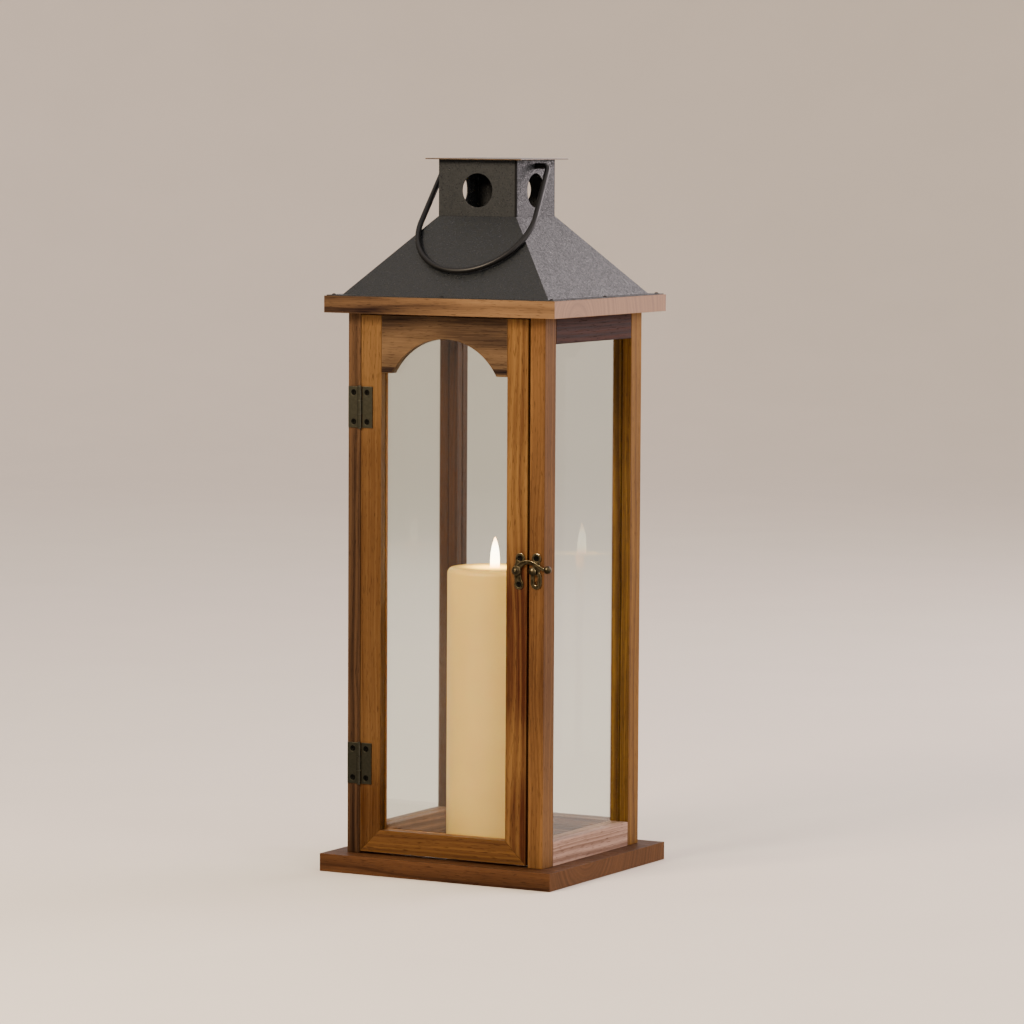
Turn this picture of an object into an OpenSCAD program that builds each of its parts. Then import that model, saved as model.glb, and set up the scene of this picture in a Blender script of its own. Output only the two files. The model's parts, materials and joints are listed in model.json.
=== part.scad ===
// Hanging lantern: a glazed wooden box with an arched door, a folded sheet roof, a chimney
// with round vents, a wire bail and an electric pillar candle.
// Millimetres, +Z up, the door faces -Y, the origin is the middle of the base board's underside.

/* [Frame] */
// Width over the posts' outer faces
body_w = 187.5; // [150:0.5:240]
// Depth over the posts' outer faces
body_d = 172; // [140:0.5:220]
// Height of the posts, from the base board to the top board
post_h = 455.8; // [360:0.1:560]
// Side of each square post
post_s = 19; // [17:0.5:24]
// Thickness of the base board
base_t = 15; // [10:0.5:20]
// How far the base board stands out past the posts at each side
base_over_w = 16.5; // [4:0.5:24]
// How far the base board stands out past the posts at front and back
base_over_d = 17.5; // [4:0.5:24]
// Thickness of the top board
rim_t = 14.2; // [10:0.1:20]
// How far the top board stands out past the posts at each side
rim_over_w = 15.8; // [10:0.1:24]
// How far the top board stands out past the posts at front and back
rim_over_d = 13.7; // [10:0.1:24]
// Height of the side and back rails on the base board
low_rail_h = 20.5; // [14:0.5:30]
// Height of the side and back rails under the top board
top_rail_h = 22.4; // [14:0.1:34]
// Width of the heat opening in the top board
heat_w = 120; // [80:1:130]
// Depth of the heat opening in the top board
heat_d = 106; // [70:1:110]

/* [Fixed glass] */
// Thickness of every glass pane
glass_t = 2; // [1.6:0.1:3]
// Distance from the frame's outer face to a fixed pane
glass_inset = 8.6; // [6:0.1:10]
// How deep the glass grooves are cut
groove_depth = 5; // [3:0.5:6]
// Clearance on each face of a pane in its groove
groove_gap = 0.2; // [0.1:0.05:0.4]
// Room left past the sides and the top of a pane in its grooves
pane_play = 1; // [0.5:0.1:2]

/* [Door] */
// Thickness of the door
door_t = 13; // [12:0.5:15]
// Width of the post's front face beside the hinges
reveal_hinge = 12; // [11.5:0.1:14]
// Width of the post's front face beside the latch
reveal_latch = 13.9; // [13:0.1:15]
// Gap between the post and the door's hinged edge
door_gap_hinge = 0.4; // [0.3:0.1:1]
// Gap between the post and the door's free edge
door_gap_latch = 2.2; // [1.5:0.1:3]
// Gap under the door
door_gap_low = 2.1; // [1:0.1:4]
// Gap over the door
door_gap_top = 1.4; // [1:0.1:4]
// Gap between the door's back and the rebate it closes into
door_gap_back = 0.5; // [0.3:0.1:1]
// Width of the door's stiles
stile_w = 19.5; // [16:0.5:24]
// Height of the door's bottom rail
door_rail_h = 19; // [14:0.5:26]
// Height of the arched rail at the crown of its arch
crown_h = 18.8; // [12:0.1:26]
// Rise of the arch
arch_rise = 29.5; // [20:0.5:36]
// Flat underside left at each foot of the arch
arch_foot = 10.5; // [6:0.5:14]
// Thickness of the wood in front of the door's glass
lip_t = 7.4; // [6:0.1:8]
// Width of the door's glass rebate, and of the beads in it
rebate_w = 5; // [4:0.5:7]
// Room left past the sides and the top of the door's glass
door_pane_play = 0.4; // [0.1:0.05:1]

/* [Roof] */
// Distance from the top board's side edge to the foot of the slope
roof_inset_w = 11.6; // [8:0.1:16]
// Distance from the top board's front edge to the foot of the slope
roof_inset_d = 10.6; // [8:0.1:16]
// Distance from the top board's edge to the edge of the roof's flange
flange_inset = 1.6; // [0.5:0.1:4]
// Height of the slopes
roof_rise = 65.7; // [50:0.1:80]
// Thickness of the roof's and chimney's sheet metal
sheet_t = 0.8; // [0.6:0.1:1.2]
// Height of the collar that the chimney fits over
collar_h = 5; // [3:0.5:8]
// Clearance between the collar and the chimney
collar_gap = 0.1; // [0.05:0.05:0.3]

/* [Chimney] */
// Width of the chimney
chimney_w = 74.3; // [62:0.1:90]
// Depth of the chimney
chimney_d = 67.6; // [56:0.1:82]
// Height of the chimney's walls
chimney_h = 47.5; // [42:0.5:57]
// Diameter of the vent in each wall
vent_d = 28.5; // [20:0.5:32]
// Height of the vents' centre above the slopes
vent_rise = 21.8; // [17:0.1:26]
// Width of the turned-in flange that carries the cap
chimney_flange = 6; // [4:0.5:8]
// Thickness of the cap
cap_t = 1; // [0.8:0.1:1.5]
// How far the cap stands out past the chimney at each side
cap_over_w = 8.6; // [6:0.1:10]
// How far the cap stands out past the chimney at front and back
cap_over_d = 8; // [4:0.1:14]

/* [Bail] */
// Diameter of the bail's wire
wire_d = 4.8; // [4:0.1:5]
// Depth of the bail's pivots below the cap
pivot_drop = 5.2; // [4:0.1:6]
// Radial clearance of the wire in the chimney's pivot holes
pivot_clear = 0.07; // [0.03:0.01:0.08]
// Distance from the chimney's wall to the middle of the bail's leg
leg_stand = 12.7; // [12:0.1:18]
// Inside bend of the wire at the top of each leg, to its centreline
bend_r = 5; // [4:0.5:8]
// Radius of the bow to the wire's centreline
bow_r = 53.5; // [50:0.5:62]
// Reach of the bail from its pivots to the bottom of the bow
bail_reach = 115; // [100:1:125]
// How far the bow leans to the right of the pivots' middle
bow_lean = 4; // [0:0.5:4]
// Gap between the resting bail and the roof
bail_rest_gap = 0.4; // [0.3:0.1:1]
// Length of wire inside each chimney wall
stub_in = 4; // [2:0.5:8]

/* [Hinges] */
// Height of each hinge
hinge_h = 34.6; // [26:0.2:44]
// Width of each leaf, from the pin's axis
leaf_w = 11.6; // [10.5:0.1:11.8]
// Thickness of a leaf
leaf_t = 1; // [0.8:0.1:1.2]
// Diameter of a knuckle
knuckle_d = 3.6; // [3.2:0.1:4.4]
// Diameter of a hinge pin
pin_d = 1.8; // [1.4:0.1:2]
// Radial clearance of the pin in the knuckles
pin_clear = 0.05; // [0.02:0.01:0.1]
// Clearance between neighbouring knuckles, and between a knuckle and the other leaf
knuckle_gap = 0.3; // [0.2:0.05:0.5]
// Height of the lower hinge's middle above the door's lower edge
hinge_low = 74.5; // [40:0.5:110]
// Depth of the upper hinge's middle below the door's upper edge
hinge_top = 77.5; // [40:0.5:110]

/* [Latch] */
// Height of the latch above the door's lower edge
latch_h = 244.9; // [160:0.1:300]
// Distance from the door's free edge to the hook's pivot
hook_inset = 8.9; // [8:0.1:11]
// Distance from the post's inner edge to the peg
peg_inset = 4.5; // [4:0.1:6]
// Thickness of the latch's plates
plate_t = 1.2; // [1:0.1:1.6]
// Thickness of the hook
hook_t = 1.6; // [1.2:0.1:2]
// Gap in front of and behind the hook
hook_gap = 0.25; // [0.2:0.05:0.4]
// Diameter of the peg's head
peg_head_d = 7; // [6:0.1:7.4]
// Diameter of the peg's shank
peg_d = 3; // [2.4:0.1:3.4]
// Diameter of the rivet that the hook turns on
rivet_d = 3; // [2.4:0.1:3.4]
// Radial clearance of the hook on its rivet
rivet_clear = 0.06; // [0.03:0.01:0.1]

/* [Candle] */
// Diameter of the candle
candle_d = 80; // [60:1:90]
// Height of the candle without its flame
candle_h = 239.6; // [190:0.2:280]
// Radius of the candle's top edge
candle_edge_r = 5; // [2:0.5:8]
// Thickness of the wax wall
wax_wall = 10; // [6:0.5:12]
// Thickness of the wax above the hollow
wax_top = 12; // [8:0.5:20]
// Height of the flame-shaped lens
flame_h = 26; // [20:0.5:32]
// Greatest diameter of the flame-shaped lens
flame_d = 8.6; // [6:0.1:11]
// Thickness of the housing's wall and of the cover
housing_wall = 2; // [1.5:0.1:3]
// Diameter of a battery
cell_d = 14.5; // [14:0.5:16]
// Length of a battery
cell_h = 50.5; // [44:0.5:51]
// Clearance between the candle's inner pieces
inner_gap = 0.3; // [0.2:0.05:0.5]
// Travel of the candle's slide switch
switch_travel = 3; // [2:0.5:4]

/* [Fasteners] */
// Head diameter of the hinge screws
small_head_d = 5; // [4:0.1:5.4]
// Shank diameter of the hinge and latch screws
small_shank_d = 2.4; // [2:0.1:2.8]
// Length of the hinge and latch screws
small_screw_l = 9; // [6:0.5:11]
// Head diameter of the frame's screws
big_head_d = 8; // [6:0.1:9]
// Shank diameter of the frame's screws
big_shank_d = 4; // [3:0.1:5]
// Length of the frame's screws
big_screw_l = 40; // [28:1:60]
// Head diameter of the roof's tacks
tack_head_d = 4; // [3:0.1:5]
// Length of the roof's tacks
tack_l = 8; // [5:0.5:10]

/* [Hidden] */
$fn = 64;
cut = 1; // how far a cutting shape runs past the face it opens

half_w = body_w / 2;
half_d = body_d / 2;
front = -half_d;
rim_z = base_t + post_h;
rim_top = rim_z + rim_t;
rim_half = [half_w + rim_over_w, half_d + rim_over_d];
base_half = [half_w + base_over_w, half_d + base_over_d];
low_rail_z = base_t + low_rail_h;
top_rail_z = rim_z - top_rail_h;
// The glass grooves: across in the side and back frames, and in height in the rails
groove = [-glass_inset - glass_t - groove_gap, -glass_inset + groove_gap];
groove_x = [half_w + groove[0], half_w + groove[1]];
groove_y = [half_d + groove[0], half_d + groove[1]];
low_groove = [low_rail_z - groove_depth, low_rail_z + cut];
top_groove = [top_rail_z - cut, top_rail_z + groove_depth];
pane_bite = groove_depth - pane_play; // how far a pane reaches into its side and top grooves

// The door's edges and its clear opening
door_x = [-half_w + reveal_hinge + door_gap_hinge, half_w - reveal_latch - door_gap_latch];
door_y = [front, front + door_t];
door_z = [base_t + door_gap_low, rim_z - door_gap_top];
open_x = [door_x[0] + stile_w, door_x[1] - stile_w];
crown_z = door_z[1] - crown_h;
open_z = [door_z[0] + door_rail_h, crown_z];
door_mid = (open_x[0] + open_x[1]) / 2;
arch_half = (open_x[1] - open_x[0]) / 2 - arch_foot;
arch_r = (pow(arch_half, 2) + pow(arch_rise, 2)) / (2 * arch_rise);
rebate_y = front + lip_t;
// The beads' inner and outer corners, as [x, z]
bead_in = [[open_x[0], open_z[0]], [open_x[1], open_z[1]]];
bead_out = [bead_in[0] - [rebate_w, rebate_w], bead_in[1] + [rebate_w, rebate_w]];

// The roof: foot and top of the slopes' outer faces
foot_z = rim_top + sheet_t;
foot_half = [rim_half[0] - roof_inset_w, rim_half[1] - roof_inset_d];
chimney_half = [chimney_w / 2, chimney_d / 2];
slope_z = foot_z + roof_rise;
cap_z = slope_z + chimney_h;
slope_w = atan2(foot_half[0] - chimney_half[0], roof_rise); // side slope, from upright
slope_d = atan2(foot_half[1] - chimney_half[1], roof_rise); // front slope, from upright
skin = [sheet_t / cos(slope_w), sheet_t / cos(slope_d)]; // the sheet measured level
tack_inset = (flange_inset + min(roof_inset_w, roof_inset_d)) / 2;

// The bail hangs from its pivots and lies on the roof: its bow on the front slope, or its legs
// on the two front hips, whichever lifts it more
pivot_z = cap_z - pivot_drop;
leg_x = chimney_half[0] + leg_stand;
rest_off = wire_d / 2 + bail_rest_gap;
pivot_off = (pivot_z - slope_z) * sin(slope_d) - chimney_half[1] * cos(slope_d);
bow_tilt = slope_d + asin((rest_off - pivot_off) / bail_reach);
hip_run = leg_stand / (foot_half[0] - chimney_half[0]); // share of a hip's length up to the leg
hip_at = [chimney_half[1], pivot_z - slope_z] + hip_run * [foot_half[1] - chimney_half[1], roof_rise];
hip_tilt = atan2(hip_at[0], hip_at[1]) + asin(rest_off / norm(hip_at));
bail_tilt = max(bow_tilt, hip_tilt);
wire_seam = 0.02; // the straight lengths are this much thinner than the bends
wire_lap = 0.2; // and reach this far into them

// The hinge pins' axis, and the middle of each hinge
pin_x = -half_w + reveal_hinge + door_gap_hinge / 2;
pin_y = front - knuckle_d / 2 - knuckle_gap / 2;
hinge_z = [door_z[0] + hinge_low, door_z[1] - hinge_top];
knuckle_h = hinge_h / 3;
leaf_screw_x = leaf_w * 0.55;
leaf_screw_z = hinge_h / 2 - small_head_d;

// The latch: the hook's pivot and the peg, as [x, z]
latch_z = door_z[0] + latch_h;
hook_at = [door_x[1] - hook_inset, latch_z];
peg_rise = 0.2; // how far the peg stands above the hook's pivot
peg_at = [half_w - reveal_latch + peg_inset, latch_z + peg_rise];
plate_y = front - plate_t;
hook_y = plate_y - hook_gap; // the hook's back face
hook_front = hook_y - hook_t;
head_h = 1.8; // height of the peg's and the rivet's heads
lobe_r = 4.2;
hook_lobes = [hook_at + [3, 10.4], hook_at + [1.9, -11.3]];
catch_lobe = peg_at + [2.7, 10.6];
catch_slot = peg_at + [2.4, -7.4];
slot_half = 2.6;
slot_r = 1.7;

// The candle
candle_top = base_t + candle_h;
bore_r = candle_d / 2 - wax_wall;
housing_r = bore_r - inner_gap;
lens_sunk = 2; // how deep the lens stands in the wax
stem_top = candle_top - lens_sunk;
stem_r = 3.5;
stem_bore_r = 2.4;
led_h = 3;
cover_h = 5;
recess_h = 2.2;
cover_top = base_t + recess_h + housing_wall; // the upper face of the cover's floor
housing_z = base_t + cover_h;
cell_x = cell_d / 2 + inner_gap;
spring_h = 3; // height of the springs above the cover
cell_z = housing_z + spring_h;
button_h = 1.5;
contact_t = 0.6;
cells_top = cell_z + cell_h + button_h + contact_t;
switch_w = 6;
switch_d = 3;
switch_y = (housing_wall - housing_r) / 2; // in front of the springs

// A box between two corners
module block(low, high) {
    translate(low) cube(high - low);
}

// An outline in X and Z, made solid from y0 back to y1
module slab(y0, y1) {
    translate([0, y1, 0]) rotate([90, 0, 0]) linear_extrude(y1 - y0) children();
}

// A round hole or rod along Y, at [x, z]
module rod_y(at, r, y0, y1) {
    translate([at[0], y1, at[1]]) rotate([90, 0, 0]) cylinder(h = y1 - y0, r = r);
}

// A round-ended bar between two points of an outline
module bar(a, b, r) {
    run = b - a;
    translate(a) circle(r);
    translate(b) circle(r);
    translate(a) rotate(atan2(run[1], run[0])) translate([0, -r]) square([norm(run), 2 * r]);
}

// A curved flat strip round [x, z], from angle a0 up to a1, made solid from y0 back to y1
module band(at, r0, r1, a0, a1, y0, y1) {
    translate([at[0], y1, at[1]]) rotate([90, 0, 0]) rotate(a0)
        rotate_extrude(angle = a1 - a0) translate([r0, 0]) square([r1 - r0, y1 - y0]);
}

// Keeps a shape, or swaps it left for right
module side(s) {
    mirror([s < 0 ? 1 : 0, 0, 0]) children();
}

// A countersunk cross-head screw: its head's face at z = 0, its point down
module screw(head_d, shank_d, length) {
    cone_h = (head_d - shank_d) / 2;
    tip_h = shank_d;
    slot_w = head_d / 6;
    slot_l = head_d * 0.6;
    difference() {
        union() {
            translate([0, 0, -cone_h]) cylinder(h = cone_h, d1 = shank_d, d2 = head_d);
            translate([0, 0, tip_h - length]) cylinder(h = length - tip_h - cone_h, d = shank_d);
            translate([0, 0, -length]) cylinder(h = tip_h, d1 = shank_d / 6, d2 = shank_d);
        }
        for (turn = [0, 90])
            rotate(turn) translate([-slot_l / 2, -slot_w / 2, -cone_h / 2]) cube([slot_l, slot_w, cone_h]);
    }
}

// Room for such a screw: a countersink and a clearance hole, from z = 0 down
module screw_hole(head_d, shank_d, depth) {
    room = 0.1;
    cone_h = (head_d - shank_d) / 2;
    translate([0, 0, -cone_h]) cylinder(h = cone_h, d1 = shank_d + 2 * room, d2 = head_d + 2 * room);
    cylinder(h = cut, d = head_d + 2 * room);
    translate([0, 0, -depth]) cylinder(h = depth, d = shank_d + 2 * room);
}

// Turns a screw so that its face looks forward, at [x, z]
module facing_front(at, y) {
    translate([at[0], y, at[1]]) rotate([90, 0, 0]) children();
}

// ---- Frame ----

module base_board() {
    color("#7a5236") difference() {
        block([-base_half[0], -base_half[1], 0], [base_half[0], base_half[1], base_t]);
        frame_screw_places() mirror([0, 0, 1]) screw_hole(big_head_d, big_shank_d, base_t + cut);
    }
}

// In each post: across, the middle of the strip beside the door; front to back, the post's middle
module frame_screw_places() {
    for (x = [-1, 1], y = [-1, 1])
        translate([x * (half_w - reveal_hinge / 2), y * (half_d - post_s / 2), 0]) children();
}

module rear_post(s) {
    x0 = half_w - post_s;
    y0 = half_d - post_s;
    color("#6b452c") side(s) difference() {
        block([x0, y0, base_t], [half_w, half_d, rim_z]);
        block([groove_x[0], y0 - cut, base_t - cut], [groove_x[1], y0 + groove_depth, rim_z + cut]);
        block([x0 - cut, groove_y[0], base_t - cut], [x0 + groove_depth, groove_y[1], rim_z + cut]);
    }
}

module front_post(s, reveal) {
    x0 = half_w - post_s;
    y1 = -half_d + post_s;
    color("#74492c") side(s) difference() {
        block([x0, -half_d, base_t], [half_w, y1, rim_z]);
        block([groove_x[0], y1 - groove_depth, base_t - cut], [groove_x[1], y1 + cut, rim_z + cut]);
        block(
            [x0 - cut, front - cut, base_t - cut],
            [half_w - reveal, door_y[1] + door_gap_back, rim_z + cut]
        );
    }
}

module side_rail(s, z0, z1, groove_z) {
    y = half_d - post_s;
    color("#7d5638") side(s) difference() {
        block([half_w - post_s, -y, z0], [half_w, y, z1]);
        block([groove_x[0], -y - cut, groove_z[0]], [groove_x[1], y + cut, groove_z[1]]);
    }
}

module back_rail(z0, z1, groove_z) {
    x = half_w - post_s;
    color("#7d5638") difference() {
        block([-x, half_d - post_s, z0], [x, half_d, z1]);
        block([-x - cut, groove_y[0], groove_z[0]], [x + cut, groove_y[1], groove_z[1]]);
    }
}

module side_pane(s) {
    y = half_d - post_s + pane_bite;
    x0 = half_w - glass_inset - glass_t;
    color("#dfe9e6", 0.35) side(s)
        block([x0, -y, low_rail_z - groove_depth], [x0 + glass_t, y, top_rail_z + pane_bite]);
}

module glass_back() {
    x = half_w - post_s + pane_bite;
    y0 = half_d - glass_inset - glass_t;
    color("#dfe9e6", 0.35)
        block([-x, y0, low_rail_z - groove_depth], [x, y0 + glass_t, top_rail_z + pane_bite]);
}

module top_board() {
    color("#8a5f3c") difference() {
        block([-rim_half[0], -rim_half[1], rim_z], [rim_half[0], rim_half[1], rim_top]);
        block([-heat_w / 2, -heat_d / 2, rim_z - cut], [heat_w / 2, heat_d / 2, rim_top + cut]);
        frame_screw_places() translate([0, 0, rim_top]) screw_hole(big_head_d, big_shank_d, rim_t + cut);
    }
}

module base_screws() {
    color("#b9b6ae") frame_screw_places() mirror([0, 0, 1]) screw(big_head_d, big_shank_d, big_screw_l);
}

module top_board_screws() {
    color("#b9b6ae") frame_screw_places() translate([0, 0, rim_top])
        screw(big_head_d, big_shank_d, big_screw_l);
}

// ---- Roof and chimney ----

// A four-sided slope between two level rectangles, given as half sizes
module frustum(low, high, z0, z1) {
    corners = [[-1, -1], [1, -1], [1, 1], [-1, 1]];
    polyhedron(
        points = concat(
            [for (c = corners) [c[0] * low[0], c[1] * low[1], z0]],
            [for (c = corners) [c[0] * high[0], c[1] * high[1], z1]]
        ),
        faces = [[0, 1, 2, 3], [7, 6, 5, 4], [4, 5, 1, 0], [5, 6, 2, 1], [6, 7, 3, 2], [7, 4, 0, 3]]
    );
}

// A level or upright ring between two half sizes
module ring_block(outer, inner, z0, z1) {
    difference() {
        block([-outer[0], -outer[1], z0], [outer[0], outer[1], z1]);
        block([-inner[0], -inner[1], z0 - cut], [inner[0], inner[1], z1 + cut]);
    }
}

module roof() {
    slope = [foot_half[0] - chimney_half[0], foot_half[1] - chimney_half[1]] / roof_rise;
    collar = chimney_half - [sheet_t + collar_gap, sheet_t + collar_gap];
    flange = rim_half - [flange_inset, flange_inset];
    color("#3b3a39") {
        difference() {
            union() {
                block([-flange[0], -flange[1], rim_top], [flange[0], flange[1], foot_z]);
                frustum(foot_half, chimney_half, foot_z, slope_z);
            }
            frustum(
                foot_half - skin + slope * (sheet_t + cut), chimney_half - skin - slope * cut,
                rim_top - cut, slope_z + cut
            );
        }
        ring_block(chimney_half - skin / 2, collar - [sheet_t, sheet_t], slope_z - sheet_t, slope_z);
        ring_block(collar, collar - [sheet_t, sheet_t], slope_z - sheet_t, slope_z + collar_h);
    }
}

module roof_tacks() {
    at = rim_half - [tack_inset, tack_inset];
    half_head = tack_head_d / 2;
    color("#2c2b2a") for (place = [
        [-at[0], -at[1]], [at[0], -at[1]], [at[0], at[1]], [-at[0], at[1]],
        [0, -at[1]], [0, at[1]], [-at[0], 0], [at[0], 0]
    ])
        translate([place[0], place[1], foot_z]) {
            cylinder(h = half_head / 2, r1 = half_head, r2 = half_head / 2);
            translate([0, 0, -tack_l]) cylinder(h = tack_l, d = tack_head_d / 3);
        }
}

module chimney() {
    inner = chimney_half - [sheet_t, sheet_t];
    color("#3b3a39") difference() {
        union() {
            ring_block(chimney_half, inner, slope_z, cap_z);
            ring_block(chimney_half, inner - [chimney_flange, chimney_flange], cap_z - sheet_t, cap_z);
        }
        for (turn = [0, 90])
            rotate(turn) rod_y([0, slope_z + vent_rise], vent_d / 2, -chimney_w, chimney_w);
        rotate(90) rod_y([0, pivot_z], wire_d / 2 + pivot_clear, -chimney_w, chimney_w);
    }
}

module cap() {
    over = chimney_half + [cap_over_w, cap_over_d];
    color("#4a4541") block([-over[0], -over[1], cap_z], [over[0], over[1], cap_z + cap_t]);
}

// ---- Bail ----

// Part of a round wire bent in X and Z, from angle a0 up to a1
module wire_arc(at, r, a0, a1) {
    translate([at[0], 0, at[1]]) rotate([90, 0, 0]) rotate(a0)
        rotate_extrude(angle = a1 - a0) translate([r, 0]) circle(d = wire_d);
}

// The bow's middle, and the direction that a leg faces outward, for a bow that leans by `lean`
function bow_at(lean) = [lean, bow_r - bail_reach];
function leg_out(lean) =
    let (way = bow_at(lean) - [leg_x - bend_r, -bend_r])
    acos((bend_r - bow_r) / norm(way)) + atan2(way[1], way[0]);

// A straight length of wire in X and Z; each end runs a little way into the bend it meets
module wire_run(a, b) {
    way = b - a;
    translate([a[0], 0, a[1]]) rotate([0, atan2(way[0], way[1]), 0])
        translate([0, 0, -wire_lap]) cylinder(h = norm(way) + 2 * wire_lap, d = wire_d - wire_seam);
}

// The right leg of the bail, hanging straight down from its pivot, with its stub and bend
module bail_leg(lean) {
    bend = [leg_x - bend_r, -bend_r];
    facing = leg_out(lean);
    out = [cos(facing), sin(facing)];
    wire_run([chimney_half[0] - sheet_t - stub_in, 0], [bend[0], 0]);
    wire_arc(bend, bend_r, facing, 90);
    wire_run(bend + bend_r * out, bow_at(lean) + bow_r * out);
}

module bail() {
    color("#1f1e1d") translate([0, 0, pivot_z]) rotate([-bail_tilt, 0, 0]) {
        bail_leg(bow_lean);
        mirror([1, 0, 0]) bail_leg(-bow_lean);
        wire_arc(bow_at(bow_lean), bow_r, -180 - leg_out(-bow_lean), leg_out(bow_lean));
    }
}

// ---- Door ----

// The space behind the lip that takes the door's glass and beads
module door_rebate() {
    block(
        [open_x[0] - rebate_w, rebate_y, open_z[0] - rebate_w],
        [open_x[1] + rebate_w, door_y[1] + cut, open_z[1] + rebate_w]
    );
}

// One door stile: straight on top, mitred to the bottom rail
module stile(outer, inner) {
    difference() {
        slab(door_y[0], door_y[1]) polygon([
            [outer, door_z[0]], [outer, door_z[1]], [inner, door_z[1]], [inner, open_z[0]]
        ]);
        door_rebate();
    }
}

module door_stile_hinged() {
    color("#a8713a") stile(door_x[0], open_x[0]);
}

module door_stile_free() {
    color("#9c6a3a") stile(door_x[1], open_x[1]);
}

module door_low_rail() {
    color("#74492c") difference() {
        slab(door_y[0], door_y[1]) polygon([
            [door_x[0], door_z[0]], [open_x[0], open_z[0]], [open_x[1], open_z[0]], [door_x[1], door_z[0]]
        ]);
        door_rebate();
    }
}

module door_arched_rail() {
    color("#5f4330") difference() {
        block([open_x[0], door_y[0], crown_z - arch_rise], [open_x[1], door_y[1], door_z[1]]);
        rod_y([door_mid, crown_z - arch_r], arch_r, door_y[0] - cut, door_y[1] + cut);
        door_rebate();
    }
}

module door_glass() {
    fit = rebate_w - door_pane_play;
    color("#dfe9e6", 0.35) block(
        [open_x[0] - fit, rebate_y, open_z[0] - rebate_w],
        [open_x[1] + fit, rebate_y + glass_t, open_z[1] + fit]
    );
}

// One mitred bead between four corners, as [x, z]
module bead(a, b, c, d) {
    slab(rebate_y + glass_t, door_y[1]) polygon([a, b, c, d]);
}

module door_bead_hinged() {
    color("#74492c") bead(
        bead_out[0], [bead_out[0][0], bead_out[1][1]], [bead_in[0][0], bead_in[1][1]], bead_in[0]
    );
}

module door_bead_free() {
    color("#74492c") bead(
        bead_out[1], [bead_out[1][0], bead_out[0][1]], [bead_in[1][0], bead_in[0][1]], bead_in[1]
    );
}

module door_bead_low() {
    color("#74492c") bead(
        bead_out[0], bead_in[0], [bead_in[1][0], bead_in[0][1]], [bead_out[1][0], bead_out[0][1]]
    );
}

module door_bead_top() {
    color("#74492c") bead(
        bead_out[1], bead_in[1], [bead_in[0][0], bead_in[1][1]], [bead_out[0][0], bead_out[1][1]]
    );
}

// ---- Hinges ----

// One leaf, drawn to the left of the pin: its plate lies on the wood, and it has the knuckles
// of the named thirds of the hinge's height
module leaf(z, thirds) {
    knuckle_r = knuckle_d / 2;
    z0 = z - hinge_h / 2;
    difference() {
        union() {
            block([-leaf_w, front - leaf_t, z0], [-knuckle_r - knuckle_gap, front, z0 + hinge_h]);
            for (i = thirds) {
                low = z0 + i * knuckle_h + (i > 0 ? knuckle_gap / 2 : 0);
                high = z0 + (i + 1) * knuckle_h - (i < 2 ? knuckle_gap / 2 : 0);
                block([-knuckle_r - knuckle_gap - cut, front - leaf_t, low], [-knuckle_r / 2, front, high]);
                translate([0, pin_y, low]) cylinder(h = high - low, r = knuckle_r);
            }
        }
        translate([0, pin_y, z0 - cut]) cylinder(h = hinge_h + 2 * cut, r = pin_d / 2 + pin_clear);
        for (up = [-1, 1])
            facing_front([-leaf_screw_x, z + up * leaf_screw_z], front - leaf_t)
                screw_hole(small_head_d, small_shank_d, leaf_t + cut);
    }
}

module frame_leaf(z) {
    color("#3f3a2e") translate([pin_x, 0, 0]) leaf(z, [0, 2]);
}

module door_leaf(z) {
    color("#3f3a2e") translate([pin_x, 0, 0]) mirror([1, 0, 0]) leaf(z, [1]);
}

module hinge_pin(z) {
    head = 0.8;
    color("#6b6552") translate([pin_x, pin_y, z - hinge_h / 2 - head]) {
        cylinder(h = hinge_h + 2 * head, d = pin_d);
        for (end = [0, hinge_h + head]) translate([0, 0, end]) cylinder(h = head, d = knuckle_d * 0.8);
    }
}

module hinge_screws(s) {
    color("#35322b") for (z = hinge_z, up = [-1, 1])
        facing_front([pin_x + s * leaf_screw_x, z + up * leaf_screw_z], front - leaf_t)
            screw(small_head_d, small_shank_d, small_screw_l);
}

// ---- Latch ----

module latch_plate() {
    color("#6e5a34") difference() {
        slab(plate_y, front) {
            for (lobe = hook_lobes) translate(lobe) circle(lobe_r);
            for (lobe = hook_lobes) bar(hook_at, lobe, lobe_r * 0.75);
            translate(hook_at) circle(lobe_r);
        }
        for (lobe = hook_lobes) facing_front(lobe, plate_y)
            screw_hole(small_head_d, small_shank_d, plate_t + cut);
        rod_y(hook_at, rivet_d / 2 + rivet_clear, plate_y - cut, front + cut);
    }
}

module latch_hook() {
    hub_r = 4.1;
    knob_r = 3.3;
    clear_r = peg_head_d / 2 + 0.6; // the arch of the hook passes over the peg's head
    arm = 3.8;
    rise_at = hook_at + [9.6, 0.4];
    rise_r = 5.2;
    neck_at = peg_at + [11, 10.2];
    neck_r = 6.6;
    neck = 3;
    knob_at = peg_at + [13.9, 1.9];
    knob_out = knob_r * 0.35; // how far the knob's middle stands in front of the hook's back face
    color("#7d6a40") difference() {
        union() {
            rod_y(hook_at, hub_r, hook_front, hook_y);
            band(rise_at, rise_r, rise_r + arm, 60, 178, hook_front, hook_y);
            band(peg_at, clear_r, clear_r + arm + 0.7, 24, 104, hook_front, hook_y);
            band(neck_at, neck_r, neck_r + neck, 212, 290, hook_front, hook_y);
            facing_front(knob_at, hook_y) rotate_extrude() difference() {
                translate([0, knob_out]) circle(knob_r);
                translate([-2 * knob_r, -2 * knob_r]) square([4 * knob_r, 2 * knob_r]);
                translate([-2 * knob_r, -cut]) square([2 * knob_r, 4 * knob_r]);
            }
        }
        rod_y(hook_at, rivet_d / 2 + rivet_clear, hook_front - cut, hook_y + cut);
    }
}

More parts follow.
